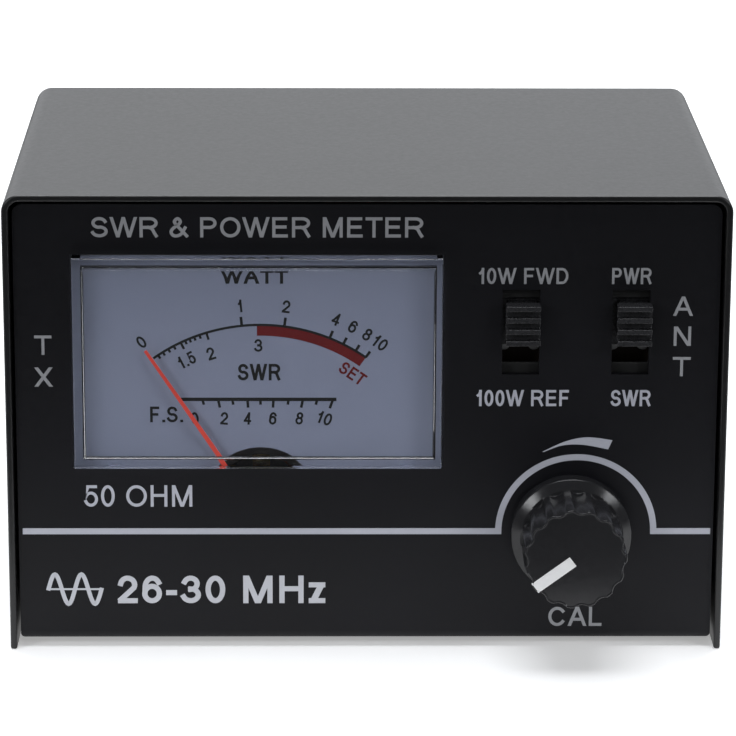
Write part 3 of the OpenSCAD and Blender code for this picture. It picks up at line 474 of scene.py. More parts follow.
def rounded(box, inset, corner, steps=5):
    """Loop round a rectangle (low, high, low, high) with round corners, drawn in by inset."""
    x0, x1, z0, z1 = box[0] + inset, box[1] - inset, box[2] + inset, box[3] - inset
    corner = max(corner, SMALLEST_CORNER)
    loop = []
    for cx, cz, start in ((x1 - corner, z1 - corner, 0), (x0 + corner, z1 - corner, 90),
                          (x0 + corner, z0 + corner, 180), (x1 - corner, z0 + corner, 270)):
        loop += arc((cx, cz), (corner, corner), start, start + 90, steps)
    return loop


def smooth_path(points, steps=6):
    """Catmull-Rom curve through a list of 2D points."""
    path = []
    last = len(points) - 1
    for i in range(last):
        a, b = Vector(points[max(i - 1, 0)]), Vector(points[i])
        c, d = Vector(points[i + 1]), Vector(points[min(i + 2, last)])
        for step in range(steps):
            t = step / steps
            path.append(0.5 * (2 * b + (c - a) * t + (2 * a - 5 * b + 4 * c - d) * t * t
                               + (3 * b - a - 3 * c + d) * t ** 3))
    path.append(Vector(points[last]))
    return [tuple(p) for p in path]


class Print:
    """Collects flat printed shapes in an upright plane, and makes one thin piece of them."""

    THICKNESS = 0.03
    SUNK = 0.02
    STEP = 0.003
    STEPS = 7
    MITER_LIMIT = 0.35

    def __init__(self, name, y, material, body, slot):
        self.name, self.y, self.material = name, y, material
        self.body, self.slot = body, slot
        self.points, self.faces = [], []
        self.count = 0

    def prism(self, outline_rows):
        """Rows of (left, right) point pairs become a strip with thickness.

        Each strip is a hair thicker than the one before, so crossing strips never share a face.
        """
        base = len(self.points)
        front = self.y - self.THICKNESS - self.STEP * (self.count % self.STEPS)
        self.count += 1
        for left, right in outline_rows:
            for x, z in (left, right):
                self.points.append((x, front, z))
                self.points.append((x, self.y + self.SUNK, z))
        for i in range(len(outline_rows) - 1):
            a = base + 4 * i
            b = a + 4
            self.faces += [(a, a + 2, b + 2, b), (a + 1, b + 1, b + 3, a + 3),
                           (a, b, b + 1, a + 1), (a + 2, a + 3, b + 3, b + 2)]
        end = base + 4 * (len(outline_rows) - 1)
        self.faces += [(base, base + 1, base + 3, base + 2), (end, end + 2, end + 3, end + 1)]

    def stroke(self, path, width, cap=0.0):
        """A line of even width along a path, its ends lengthened by cap."""
        pts = [Vector(p) for p in path]
        closed = (pts[0] - pts[-1]).length < 1e-6
        if not closed and cap:
            pts[0] = pts[0] + (pts[0] - pts[1]).normalized() * cap
            pts[-1] = pts[-1] + (pts[-1] - pts[-2]).normalized() * cap
        rows = []
        last = len(pts) - 1
        for i, p in enumerate(pts):
            before = pts[i - 1] if i else (pts[last - 1] if closed else None)
            after = pts[i + 1] if i < last else (pts[1] if closed else None)
            ahead = ((after - p) if after is not None else (p - before)).normalized()
            behind = ((p - before) if before is not None else ahead).normalized()
            bisector = (ahead + behind).normalized()
            normal = Vector((-bisector.y, bisector.x))
            stretch = 1 / max(bisector.dot(ahead), self.MITER_LIMIT)
            offset = normal * width / 2 * stretch
            rows.append((tuple(p + offset), tuple(p - offset)))
        self.prism(rows)

    def finish(self):
        mesh = bpy.data.meshes.new(self.name)
        mesh.from_pydata(self.points, [], self.faces)
        shape = bmesh.new()
        shape.from_mesh(mesh)
        bmesh.ops.recalc_face_normals(shape, faces=shape.faces)
        shape.to_mesh(mesh)
        shape.free()
        return add_piece(self.name, mesh, self.material, self.body, self.slot)


# ---- Lettering ----

# Each glyph: width of its ink and space on its left and right, as parts of the letter height,
# then its strokes inside a unit square. A stroke is a path of even width, or, with CUT first, a
# slanting stroke whose ends are cut level with the square's top and bottom.
CUT = "cut"
ROUND = arc((0.5, 0.5), (0.5, 0.5), 90, 450, 32)
BOWL = [(0, 1), (0.56, 1)] + arc((0.58, 0.745), (0.42, 0.255), 90, -90) + [(0, 0.49)]
STEM = [(0, 0), (0, 1)]
FAR_STEM = [(1, 0), (1, 1)]
GLYPHS = {
    "A": (0.92, 0.01, [(CUT, (0, 0), (0.5, 1)), (CUT, (1, 0), (0.5, 1)), [(0.2, 0.32), (0.8, 0.32)]]),
    "C": (0.86, 0.07, [arc((0.5, 0.5), (0.5, 0.5), 40, 320, 26)]),
    "D": (0.80, 0.10, [STEM, [(0, 1), (0.42, 1)] + arc((0.44, 0.5), (0.56, 0.5), 90, -90, 18)
                       + [(0, 0)]]),
    "E": (0.72, 0.10, [STEM, [(0, 1), (0.96, 1)], [(0, 0), (1, 0)], [(0, 0.52), (0.9, 0.52)]]),
    "F": (0.66, 0.10, [STEM, [(0, 1), (1, 1)], [(0, 0.5), (0.86, 0.5)]]),
    "H": (0.76, 0.11, [STEM, FAR_STEM, [(0, 0.53), (1, 0.53)]]),
    "L": (0.62, 0.10, [STEM, [(0, 0), (1, 0)]]),
    "M": (0.92, 0.10, [STEM, FAR_STEM, (CUT, (0, 1), (0.5, 0)), (CUT, (1, 1), (0.5, 0))]),
    "N": (0.76, 0.11, [STEM, FAR_STEM, (CUT, (0, 1), (1, 0))]),
    "O": (0.94, 0.06, [ROUND]),
    "P": (0.76, 0.10, [STEM, BOWL]),
    "R": (0.84, 0.09, [STEM, BOWL, smooth_path([(0.5, 0.49), (0.72, 0.40), (0.88, 0.16), (1, 0)])]),
    "S": (0.78, 0.07, [arc((0.5, 0.745), (0.45, 0.255), 20, 262, 18)
                       + arc((0.5, 0.255), (0.5, 0.255), 82, -164, 18)]),
    "T": (0.78, 0.03, [[(0, 1), (1, 1)], [(0.5, 1), (0.5, 0)]]),
    "W": (1.28, 0.01, [(CUT, (0, 1), (0.27, 0)), (CUT, (0.5, 1), (0.27, 0)),
                       (CUT, (0.5, 1), (0.73, 0)), (CUT, (1, 1), (0.73, 0))]),
    "X": (0.86, 0.02, [(CUT, (0, 0), (1, 1)), (CUT, (1, 0), (0, 1))]),
    "z": (0.52, 0.05, [[(0, 0.7), (1, 0.7)], [(0, 0), (1, 0)], (CUT, (0, 0), (1, 0.7))]),
    "0": (0.62, 0.07, [ROUND]),
    "1": (0.34, 0.12, [FAR_STEM, smooth_path([(0, 0.70), (0.55, 0.79), (1, 0.97)])]),
    "2": (0.62, 0.07, [arc((0.5, 0.71), (0.48, 0.29), 170, -28, 16) + [(0.04, 0.06)],
                       [(0, 0), (1, 0)]]),
    "3": (0.62, 0.07, [arc((0.48, 0.75), (0.44, 0.25), 160, -90, 16),
                       arc((0.48, 0.26), (0.52, 0.26), 90, -160, 16)]),
    "4": (0.64, 0.06, [[(0.74, 0), (0.74, 1)], [(0, 0.26), (1, 0.26)], [(0.7, 0.96), (0.03, 0.26)]]),
    "5": (0.62, 0.07, [[(0.92, 1), (0.2, 1), (0.08, 0.5)]
                       + arc((0.48, 0.33), (0.52, 0.33), 132, -158, 16)]),
    "6": (0.62, 0.07, [arc((0.53, 0.6), (0.5, 0.4), 32, 176, 14) + [(0.01, 0.32)],
                       arc((0.5, 0.32), (0.5, 0.32), 180, 540, 28)]),
    "8": (0.62, 0.07, [arc((0.5, 0.765), (0.42, 0.235), -90, 270, 24),
                       arc((0.5, 0.27), (0.5, 0.27), -90, 270, 28)]),
    ".": (0.15, 0.11, [[(0, 0), (1, 0)]]),
    "-": (0.34, 0.06, [[(0, 0.36), (1, 0.36)]]),
    "&": (0.86, 0.06, [[(1, 0), (0.30, 0.68)],
                       smooth_path([(0.30, 0.68), (0.22, 0.84), (0.42, 1), (0.60, 0.85),
                                    (0.50, 0.67), (0.13, 0.43), (0, 0.22), (0.13, 0.03),
                                    (0.38, 0), (0.66, 0.12), (0.90, 0.46)])]),
}
SPACE_WIDTH = 0.39
THINNEST_GLYPH = 0.02


def cut_stroke(start, end, weight, box_of):
    """Corners of a slanting stroke with level ends, kept inside its glyph's box."""
    left, span, low, height = box_of
    run = abs(end[0] - start[0]) * span
    rise = abs(end[1] - start[1]) * height
    half = weight / 2 * math.hypot(run, rise) / rise
    rows = []
    for u, v in (start, end):
        x = left + half + u * (span - 2 * half)
        z = low + v * height
        rows.append(((x - half, z), (x + half, z)))
    return rows


def write(sheet, text, left, right, low, high, weight, turn=0.0):
    """Prints a line of text whose ink fills a box, then turns it clockwise about its middle."""
    height = high - low
    pen = 0.0
    placed = []
    for letter in text:
        if letter == " ":
            pen += SPACE_WIDTH
            continue
        width, bearing, strokes = GLYPHS[letter]
        placed.append((pen + bearing, width, strokes))
        pen += width + 2 * bearing
    ink_start = placed[0][0]
    ink_end = placed[-1][0] + placed[-1][1]
    squeeze = (right - left) / (ink_end - ink_start)
    pivot = ((left + right) / 2, (low + high) / 2)
    cos_t, sin_t = math.cos(math.radians(-turn)), math.sin(math.radians(-turn))

    def turned(point):
        x, z = point[0] - pivot[0], point[1] - pivot[1]
        return (pivot[0] + x * cos_t - z * sin_t, pivot[1] + x * sin_t + z * cos_t)

    for start, width, strokes in placed:
        glyph_left = left + (start - ink_start) * squeeze
        glyph_span = width * squeeze
        inner = max(glyph_span - weight, THINNEST_GLYPH * height)
        for path in strokes:
            if path[0] == CUT:
                rows = cut_stroke(path[1], path[2], weight, (glyph_left, glyph_span, low, height))
                sheet.prism([(turned(a), turned(b)) for a, b in rows])
                continue
            line = [turned((glyph_left + weight / 2 + u * inner,
                            low + weight / 2 + v * (height - weight))) for u, v in path]
            sheet.stroke(line, weight, cap=weight / 2)


def write_centred(sheet, text, centre, height, width, weight, turn=0.0):
    x, z = centre
    write(sheet, text, x - width / 2, x + width / 2, z - height / 2, z + height / 2, weight, turn)


# ---- Panel printing ----

LINE_Z = 18.1
LINE_FROM = -50.4
LINE_TO = 50.6
LINE_WIDTH = 0.92
ARCH_X = 30.8
ARCH_R = 11.4
TURN_MARK_OUTER = [(25.7, 30.35), (29.0, 31.9), (32.2, 32.55), (35.9, 32.1)]
TURN_MARK_INNER = [(25.9, 30.3), (28.6, 31.3), (31.6, 31.4), (35.3, 30.7)]
# Lines of print: text, left and right end, foot and top, and stroke weight
PALE_LINES = (
    ("100W REF", 16.0, 29.4, 37.3, 39.75, 0.38),
    ("SWR", 35.5, 41.3, 37.3, 39.75, 0.38),
    ("50 OHM", -41.3, -25.5, 21.9, 25.2, 0.44),
)
# Printed in the darker ink, which is painted shade on the title, 10W FWD and PWR high on the panel
DIM_LINES = (
    ("SWR & POWER METER", -39.7, 8.0, 62.6, 65.6, 0.46),
    ("CAL", 27.0, 34.9, 3.3, 6.3, 0.46),
    ("10W FWD", 16.1, 29.0, 55.7, 58.1, 0.36),
    ("PWR", 35.3, 41.0, 55.7, 58.1, 0.36),
)
BAND_LINE = ("26-30 MHz", -36.6, -6.0, 6.9, 11.2, 0.78)
# Upright legends: letter, middle and width
SOCKET_LETTERS = (
    ("A", (45.7, 52.4), 2.9),
    ("N", (45.7, 47.9), 2.5),
    ("T", (45.7, 43.3), 2.6),
    ("T", (-46.9, 46.5), 2.5),
    ("X", (-46.9, 41.7), 2.7),
)
SOCKET_LETTER_HEIGHT = 2.9
SOCKET_LETTER_WEIGHT = 0.42
# The wave sign before the band legend
WAVE_START = -46.8
WAVE_LENGTH = 7.8
WAVE_MIDDLE = 9.1
WAVE_HEIGHT = 2.3
WAVE_STEPS = 48
WAVE_CYCLES = 2
WAVE_WEIGHT = 0.62
WAVE_AXIS_WEIGHT = 0.28


def panel_printing():
    pale = Print("panel_legends", PANEL_Y, INK_PALE, "case", "pointer_white")
    border = [(LINE_FROM, LINE_Z)] + arc((ARCH_X, LINE_Z), (ARCH_R, ARCH_R), 180, 0, 60)
    pale.stroke(border + [(LINE_TO, LINE_Z)], LINE_WIDTH)
    outer = smooth_path(TURN_MARK_OUTER, 8)
    inner = smooth_path(TURN_MARK_INNER, 8)
    pale.prism(list(zip(outer, inner)))
    for line in PALE_LINES:
        write(pale, *line)
    pale.finish()

    dim = Print("panel_titles", PANEL_Y, INK_DIM, "case", "pointer_white")
    for line in DIM_LINES:
        write(dim, *line)
    for letter, middle, width in SOCKET_LETTERS:
        write_centred(dim, letter, middle, SOCKET_LETTER_HEIGHT, width, SOCKET_LETTER_WEIGHT)
    dim.finish()

    white = Print("band_legend", PANEL_Y, INK_WHITE, "case", "pointer_white")
    wave = []
    for i in range(WAVE_STEPS + 1):
        share = i / WAVE_STEPS
        wave.append((WAVE_START + WAVE_LENGTH * share,
                     WAVE_MIDDLE + WAVE_HEIGHT * math.sin(2 * math.pi * WAVE_CYCLES * share)))
    white.stroke(wave, WAVE_WEIGHT, cap=0.2)
    white.stroke([(WAVE_START, WAVE_MIDDLE), (WAVE_START + WAVE_LENGTH, WAVE_MIDDLE)],
                 WAVE_AXIS_WEIGHT)
    write(white, *BAND_LINE)
    white.finish()


# ---- Scale printing ----

DIAL_X = -15.5
DIAL_Z = 22.25
DIAL_R = 26.5
# Ends of the curved line and of the red band, in degrees from upright
CURVE_ENDS = (-36, 35.6)
RED_ENDS = (-1.1, 35.5)
RED_INSET = 0.9
RED_WIDTH = 1.45
# Line weights
CURVE_LINE = 0.36
POWER_TICK = 0.40
SWR_TICK = 0.34
STRAIGHT_LINE = 0.52
STRAIGHT_TICK = 0.38
# Marks of the curved scale: degrees from upright, and length outwards or inwards
POWER_TICKS = ((-5.8, 1.35), (7.6, 1.35), (22.4, 1.2), (27.1, 1.1), (31.6, 1.05), (35.4, 1.1))
SWR_TICKS = ((-34.2, 0.6), (-32.4, 0.6), (-30.4, 0.6), (-28.4, 0.6), (-25.9, 1.1), (-24.4, 0.6),
             (-22.9, 0.6), (-21.3, 0.6), (-19.5, 0.6), (-17.2, 1.1))
# Figures of the curved scale: text, radius, degrees from upright, and width
CURVED_FIGURES = (
    ("0", 29.5, -35.9, 1.15), ("1", 29.5, -5.7, 0.55), ("2", 29.5, 7.4, 1.15),
    ("4", 29.5, 22.0, 1.15), ("6", 29.5, 27.2, 1.15), ("8", 29.5, 31.9, 1.15),
    ("10", 29.5, 36.3, 2.1), ("1.5", 23.75, -26.8, 2.5), ("2", 23.3, -18.0, 1.15),
    ("3", 23.4, -0.7, 1.2),
)
FIGURE_HEIGHT = 1.9
FIGURE_WEIGHT = 0.31
# Words on the dial: text, middle, height, width and stroke weight
DIAL_WORDS = (
    ("SWR", (-15.7, 41.6), 2.5, 6.2, 0.42),
    ("WATT", (-16.3, 56.2), 2.5, 9.8, 0.46),
    ("F.S.", (-29.3, 35.15), 2.4, 4.7, 0.38),
)
# The straight scale: its height and ends, its marks' places and lengths, and its figures'
# places, widths and turns
STRAIGHT_Z = 37.45
STRAIGHT_ENDS = (-27.2, -4.4)
STRAIGHT_TICKS = ((-24.0, 0.8), (-21.7, 1.25), (-19.6, 0.8), (-17.4, 1.25), (-15.5, 0.8),
                  (-13.6, 1.25), (-11.4, 0.8), (-9.3, 1.25), (-7.2, 0.8), (-4.9, 1.35))
STRAIGHT_LEAN = 1 / 30
STRAIGHT_FIGURES = (("0", -25.1, 1.1, -8), ("2", -20.8, 1.1, 4), ("4", -17.4, 1.1, 4),
                    ("6", -13.7, 1.1, 6), ("8", -9.8, 1.1, 10), ("10", -6.1, 2.1, 20))
STRAIGHT_FIGURE_Z = 34.55


def on_dial(radius, degrees):
    """Point at a radius from the scale's centre, turned clockwise from upright."""
    a = math.radians(degrees)
    return (DIAL_X + radius * math.sin(a), DIAL_Z + radius * math.cos(a))


def dial_arc(radius, start, end, steps=40):
    return [on_dial(radius, start + (end - start) * i / steps) for i in range(steps + 1)]


def scale_printing():
    black = Print("scale_marks", SCALE_Y, SCALE_BLACK, "case", "track_carbon")
    black.stroke(dial_arc(DIAL_R, *CURVE_ENDS), CURVE_LINE)
    for degrees, reach in POWER_TICKS:
        black.stroke([on_dial(DIAL_R, degrees), on_dial(DIAL_R + reach, degrees)], POWER_TICK)
    for degrees, reach in SWR_TICKS:
        black.stroke([on_dial(DIAL_R, degrees), on_dial(DIAL_R - reach, degrees)], SWR_TICK)
    for text, radius, degrees, width in CURVED_FIGURES:
        write_centred(black, text, on_dial(radius, degrees), FIGURE_HEIGHT, width, FIGURE_WEIGHT,
                      turn=degrees)
    for word in DIAL_WORDS:
        write_centred(black, *word)
    black.stroke([(x, STRAIGHT_Z) for x in STRAIGHT_ENDS], STRAIGHT_LINE)
    for x, reach in STRAIGHT_TICKS:
        lean = (x - DIAL_X) * STRAIGHT_LEAN
        black.stroke([(x, STRAIGHT_Z), (x - lean * reach, STRAIGHT_Z - reach)], STRAIGHT_TICK)
    for text, x, width, turn in STRAIGHT_FIGURES:
        write_centred(black, text, (x, STRAIGHT_FIGURE_Z), FIGURE_HEIGHT, width, FIGURE_WEIGHT,
                      turn=turn)
    black.finish()

    red = Print("scale_red_band", SCALE_Y, SCALE_RED, "case", "needle_red")
    red.stroke(dial_arc(DIAL_R - RED_INSET, *RED_ENDS), RED_WIDTH)
    write_centred(red, "SET", on_dial(23.4, 35.1), FIGURE_HEIGHT, 4.1, 0.32, turn=35)
    red.finish()


panel_printing()
scale_printing()

# ---- Meter window ----

# Rectangles are left, right, foot and top
WINDOW = (-42.6, 10.9, 28.1, 59.8)
WINDOW_INSIDE = (-41.35, 10.05, 29.15, 58.3)
WINDOW_WALL = 1.5
WINDOW_EDGE = 0.35
WINDOW_CORNER = 0.15
FILLET_SIDE = 0.6
FILLET_TOP = 1.3
FILLET_DEPTH = 0.8
FILLET_STEPS = 6
APRON_FROM_PANEL = 1.1
APRON_RIM = 1.2
APRON_PLATE = 0.8
APRON_CORNER = 0.8
APRON_INNER_CORNER = 0.4
APRON_EDGE = 0.15
# A second ring this far inside a flat face's edge keeps the face's shading flat
FLAT_RIM = 0.1
CASE_PIECE_SHARP = 40


def window_lens():
    """Clear window with soft outer edges and a fillet inside, and its apron behind the panel."""
    low, high = node_box("meter_lens")
    apron = (low.x, high.x, low.z, high.z)
    apron_front = PANEL_Y + APRON_FROM_PANEL
    apron_inside = apron_front + APRON_PLATE
    front, back = low.y, high.y
    inner_front = front + WINDOW_WALL

    def outline(box, inset, corner, y):
        return [(x, y, z) for x, z in rounded(box, inset, corner)]

    def quarter(box, y, radius, corner, steps=5):
        """Outlines round a quarter circle from a front face out to a side wall."""
        rings = []
        for i in range(steps + 1):
            a = math.radians(90 * i / steps)
            run, rise = radius * (1 - math.sin(a)), radius * (1 - math.cos(a))
            rings.append(outline(box, run, corner - run, y + rise))
        return rings

    def filleted(share, y, inset=0.0):
        """Outline inside the window, a share of the way from its wall across the fillet."""
        x0, x1, z0, z1 = WINDOW_INSIDE
        side = FILLET_SIDE * share
        box = (x0 + side, x1 - side, z0 + side, z1 - FILLET_TOP * share)
        return outline(box, inset, FLAT_RIM, y)

    rings = [outline(WINDOW, WINDOW_EDGE + FLAT_RIM, 0.05, front)]
    rings += quarter(WINDOW, front, WINDOW_EDGE, WINDOW_CORNER)
    rings.append(outline(WINDOW, 0, WINDOW_CORNER, apron_front))
    rings += quarter(apron, apron_front, APRON_EDGE, APRON_CORNER, 2)
    rings.append(outline(apron, 0, APRON_CORNER, back))
    rings.append(outline(apron, APRON_RIM, APRON_INNER_CORNER, back))
    rings.append(outline(apron, APRON_RIM, APRON_INNER_CORNER, apron_inside))
    rings.append(filleted(0, apron_inside))
    for i in range(FILLET_STEPS + 1):
        a = math.radians(90 * i / FILLET_STEPS)
        rings.append(filleted(1 - math.cos(a), inner_front + FILLET_DEPTH * (1 - math.sin(a))))
    rings.append(filleted(1, inner_front, inset=FLAT_RIM))
    return skin("window_lens", rings, CASE_PIECE_SHARP)


lens = add_piece("window_lens", window_lens(), LENS, "case", "clear_plastic", ["meter_lens"])
lens.visible_shadow = False

# ---- Dark strips beside the rear wall: painted shade, black sheets that keep light from leaking in through the gap ----

SHADE_STRIP_WIDTH = 0.48
SHADE_STRIP_OVERLAP = 0.06
SHADE_STRIP_DEPTH = 1.5
SHADE_STRIP_BEHIND = 0.02
SHADE_STRIP_SHORT = 1.6
SHADE_STRIP_CORNER = 0.15
# Rings at each end of a strip: distance from the end, and how far the ring is drawn in
SHADE_STRIP_END = ((0.0, 0.10), (0.04, 0.03), (0.12, 0.0))
SHADE_STRIP_STEPS = 24


def rear_gap_shade(side):
    """Upright dark strip between the rear wall and a flap, painted shade that keeps light from leaking
    through the gap; side is -1 or 1.
    """
    reach = sorted((side * (chassis_high.x - SHADE_STRIP_OVERLAP), side * (chassis_high.x + SHADE_STRIP_WIDTH)))
    section = (*reach, REAR_Y - SHADE_STRIP_DEPTH, REAR_Y - SHADE_STRIP_BEHIND)
    bottom, top = chassis_low.z + SHADE_STRIP_SHORT, chassis_high.z - SHADE_STRIP_SHORT

    def outline(inset, z):
        return [(x, y, z) for x, y in rounded(section, inset, SHADE_STRIP_CORNER - inset)]

    end = SHADE_STRIP_END[-1][0]
    rings = [outline(inset, bottom + away) for away, inset in SHADE_STRIP_END]
    for i in range(1, SHADE_STRIP_STEPS):
        rings.append(outline(0, bottom + end + (top - bottom - 2 * end) * i / SHADE_STRIP_STEPS))
    rings += [outline(inset, top - away) for away, inset in reversed(SHADE_STRIP_END)]
    name = "rear_seal_left" if side < 0 else "rear_seal_right"
    add_piece(name, skin(name, rings, CASE_PIECE_SHARP), GAP_SHADE_BLACK, "case", "black_plastic")


for side in (-1, 1):
    rear_gap_shade(side)

# ---- Calibration knob ----

FLUTES = 15
KNOB_R = 7.45
FLUTE_R = 1.6
FLUTE_DEPTH = 0.45
POINTER_REST = -127
FLUTE_COLUMNS = 14
FACE_EDGE = 0.18
FACE_EDGE_STEPS = 5
FACE_DISH = 0.06
# Rings of the face: depth behind the front, and distance inside the rounded edge
FACE_RINGS = ((FACE_DISH, 1.5), (FACE_DISH, 0.20), (FACE_DISH, 0.14), (0.0, 0.04), (0.0, 0.0))
# Rings where the grip's flutes run out into the skirt: distance behind the grip's foot,
# inset and depth of flute
GRIP_RINGS = ((-1.0, 0.0, 1.0), (-0.25, 0.0, 1.0), (-0.08, -0.02, 0.8), (0.0, -0.12, 0.0))
GRIP_FOOT = PANEL_Y - 3.55
# Rings of the joint between grip and skirt: distance behind the grip's foot, and radius
JOINT_RINGS = ((0.02, KNOB_R + 0.12), (0.10, KNOB_R + 0.22))
SKIRT_TOP = PANEL_Y - 2.48
SKIRT_CORNER = 0.35
SKIRT_CORNER_STEPS = 5
# Rings of the skirt's foot and the hollow back: distance in front of the base, and radius
BACK_RINGS = ((0.15, SKIRT_R), (0.0, SKIRT_R - 0.15), (0.0, 6.5), (0.1, 6.4), (3.2, 6.4),
              (3.4, 6.2), (3.4, 3.05), (10.2, 3.05))


def knob():
    """Fluted grip on a smooth skirt, with a round edge to its face and a hollow back."""
    centre = KNOB_R + FLUTE_R - FLUTE_DEPTH
    pitch = 2 * math.pi / FLUTES
    half_cut = math.acos((centre ** 2 + KNOB_R ** 2 - FLUTE_R ** 2) / (2 * centre * KNOB_R))

    def radius(angle, inset, flute):
        """Distance from the axis at an angle, flute 1 for full depth and 0 for none."""
        off = abs((angle - math.radians(POINTER_REST)) % pitch - pitch / 2)
        plain = KNOB_R
        if off < half_cut:
            groove = centre * math.cos(off) - math.sqrt(
                max(FLUTE_R ** 2 - (centre * math.sin(off)) ** 2, 0))
            plain = KNOB_R + (groove - KNOB_R) * flute
        return plain - inset

    def ring(y, inset=0.0, flute=0.0, plain=None):
        def point(angle):
            r = plain if plain is not None else radius(angle, inset, flute)
            return (KNOB_X + r * math.sin(angle), y, KNOB_Z + r * math.cos(angle))
        return point

    rings = [ring(KNOB_FACE + depth, inset=FACE_EDGE + inside, flute=1.0)
             for depth, inside in FACE_RINGS]
    for step in range(1, FACE_EDGE_STEPS + 1):
        a = math.radians(90 * step / FACE_EDGE_STEPS)
        rings.append(ring(KNOB_FACE + FACE_EDGE * (1 - math.cos(a)),
                          inset=FACE_EDGE * (1 - math.sin(a)), flute=1.0))
    rings += [ring(GRIP_FOOT + behind, inset, flute) for behind, inset, flute in GRIP_RINGS]
    rings += [ring(GRIP_FOOT + behind, plain=r) for behind, r in JOINT_RINGS]
    for step in range(SKIRT_CORNER_STEPS + 1):
        a = math.radians(30 + 60 * step / SKIRT_CORNER_STEPS)
        rings.append(ring(SKIRT_TOP - SKIRT_CORNER * math.cos(a),
                          plain=SKIRT_R - SKIRT_CORNER * (1 - math.sin(a))))
    rings += [ring(KNOB_BASE - ahead, plain=r) for ahead, r in BACK_RINGS]
    return lathe("cal_knob_body", rings, FLUTES * FLUTE_COLUMNS, math.radians(POINTER_REST))


add_piece("cal_knob_body", knob(), KNOB, "cal_knob", "knob_black", ["cal_knob"])

# ---- Coaxial sockets ----

THREAD_PITCH = 25.4 / 24
BARREL_R = 7.94
THREAD_DEPTH = 0.55
THREAD_RINGS = 72
# The thread's section is a triangle wave, stretched, sunk and clipped to flatten crest and root
THREAD_STRETCH = 1.5
THREAD_SINK = 0.2
# It fades over about one part in this many of its length, to none and to this part of its depth
THREAD_FADE = 12
THREAD_AT_RIM = 0.25
THREAD_FROM_FLANGE = 0.9
THREAD_FROM_END = 0.5
ROOT_R = BARREL_R - 0.5
COLLAR_R = 7.9
COLLAR_EDGE = 0.2
BORE_R = 6.3
NOTCH_W = 1.6
NOTCH_DEPTH = 1.0
# Rings over the barrel's rim and into its bore: distance in front of the end, and radius
RIM_RINGS = ((0.35, BARREL_R - 0.1), (0.08, BARREL_R - 0.38), (0.0, ROOT_R), (0.0, BORE_R + 0.3),
             (0.1, BORE_R + 0.08), (0.35, BORE_R), (1.2, BORE_R))
SOCKET_COLUMNS = 144
SOCKET_SHARP = 30
FLANGE_T = 1.6
FLANGE_CORNER = 1.5
FLANGE_EDGE = 0.18
FLANGE_BORE = 7.2
HOLE_PITCH = 18.26
HOLE_R = 1.6


def barrel(x):
    """Threaded barrel with its bore, rim notches and the collar behind the flange."""
    def notched(y, r, angle):
        """Pulls the rim back inside the four notches."""
        across = abs((angle - math.pi / 4) % (math.pi / 2))
        across = min(across, math.pi / 2 - across)
        inside = r * math.sin(across) < NOTCH_W / 2
        return min(y, BARREL_END - NOTCH_DEPTH) if inside else y

    def ring(y, r, thread=0.0):
        def point(angle):
            wave = abs(((y / THREAD_PITCH - angle / (2 * math.pi)) % 1) * 2 - 1)
            at = r - thread * min(max(wave * THREAD_STRETCH - THREAD_SINK, 0), 1)
            return (x + at * math.sin(angle), notched(y, r, angle), SOCKET_Z + at * math.cos(angle))
        return point

    thread_start = REAR_Y + FLANGE_T + THREAD_FROM_FLANGE
    thread_length = BARREL_END - THREAD_FROM_END - thread_start
    rings = [ring(REAR_Y + FLANGE_T / 2, BARREL_R - THREAD_DEPTH), ring(REAR_Y + FLANGE_T, ROOT_R),
             ring(thread_start - 0.3, ROOT_R)]
    for i in range(THREAD_RINGS + 1):
        t = i / THREAD_RINGS
        fade = min(1, t * THREAD_FADE, (1 - t) * THREAD_FADE + THREAD_AT_RIM)
        rings.append(ring(thread_start + t * thread_length, BARREL_R, THREAD_DEPTH * fade))
    rings += [ring(BARREL_END - ahead, r) for ahead, r in RIM_RINGS]
    rings += [ring(SOCKET_FRONT, BORE_R), ring(SOCKET_FRONT, COLLAR_R - COLLAR_EDGE),
              ring(SOCKET_FRONT + COLLAR_EDGE, COLLAR_R), ring(REAR_Y - 0.1, COLLAR_R)]
    return lathe("barrel", rings, SOCKET_COLUMNS, smooth_degrees=SOCKET_SHARP, ringed=True)


def flange(x):
    """Square plate with round corners, four screw holes and a soft edge."""
    curve = bpy.data.curves.new("flange", "CURVE")
    curve.dimensions = "2D"
    curve.fill_mode = "BOTH"
    curve.extrude = FLANGE_T / 2 - FLANGE_EDGE
    curve.bevel_depth = FLANGE_EDGE
    curve.bevel_resolution = 2
    curve.offset = -FLANGE_EDGE

    def loop(points):
        spline = curve.splines.new("POLY")
        spline.points.add(len(points) - 1)
        for point, (px, pz) in zip(spline.points, points):
            point.co = (px, pz, 0, 1)
        spline.use_cyclic_u = True

    def circle(centre, r, count):
        loop(arc(centre, (r, r), 0, 360 - 360 / count, count - 1))

    half = FLANGE_W / 2
    loop(rounded((-half, half, -half, half), 0, FLANGE_CORNER, 8))
    for sx in (-1, 1):
        for sz in (-1, 1):
            circle((sx * HOLE_PITCH / 2, sz * HOLE_PITCH / 2), HOLE_R, 32)
    circle((0, 0), FLANGE_BORE, 64)
    holder = new_object("flange", curve)
    bpy.context.view_layer.update()
    mesh = bpy.data.meshes.new_from_object(holder.evaluated_get(
        bpy.context.evaluated_depsgraph_get()))
    bpy.data.objects.remove(holder)
    mesh.transform(Matrix.Translation((x, REAR_Y + FLANGE_T / 2, SOCKET_Z))
                   @ Matrix.Rotation(math.radians(90), 4, "X"))
    return mesh


for side, x in (("tx", -SOCKET_X), ("ant", SOCKET_X)):
    name = side + "_socket_body"
    shape = bmesh.new()
    shape.from_mesh(barrel(x))
    shape.from_mesh(flange(x))
    add_piece(name, finished_mesh(name, shape, SOCKET_SHARP), NICKEL, "case", "nickel",
              [side + "_socket_shell"])

# ---- Floor, light and camera ----

# The near floor's left, right, front and back, and the far floor's half width, in metres
NEAR_FLOOR = (-0.45, 0.45, -0.085, 0.40)
FAR_FLOOR = 6.0
NEAR_GLOW = 0.35
FAR_GLOW = 1.0


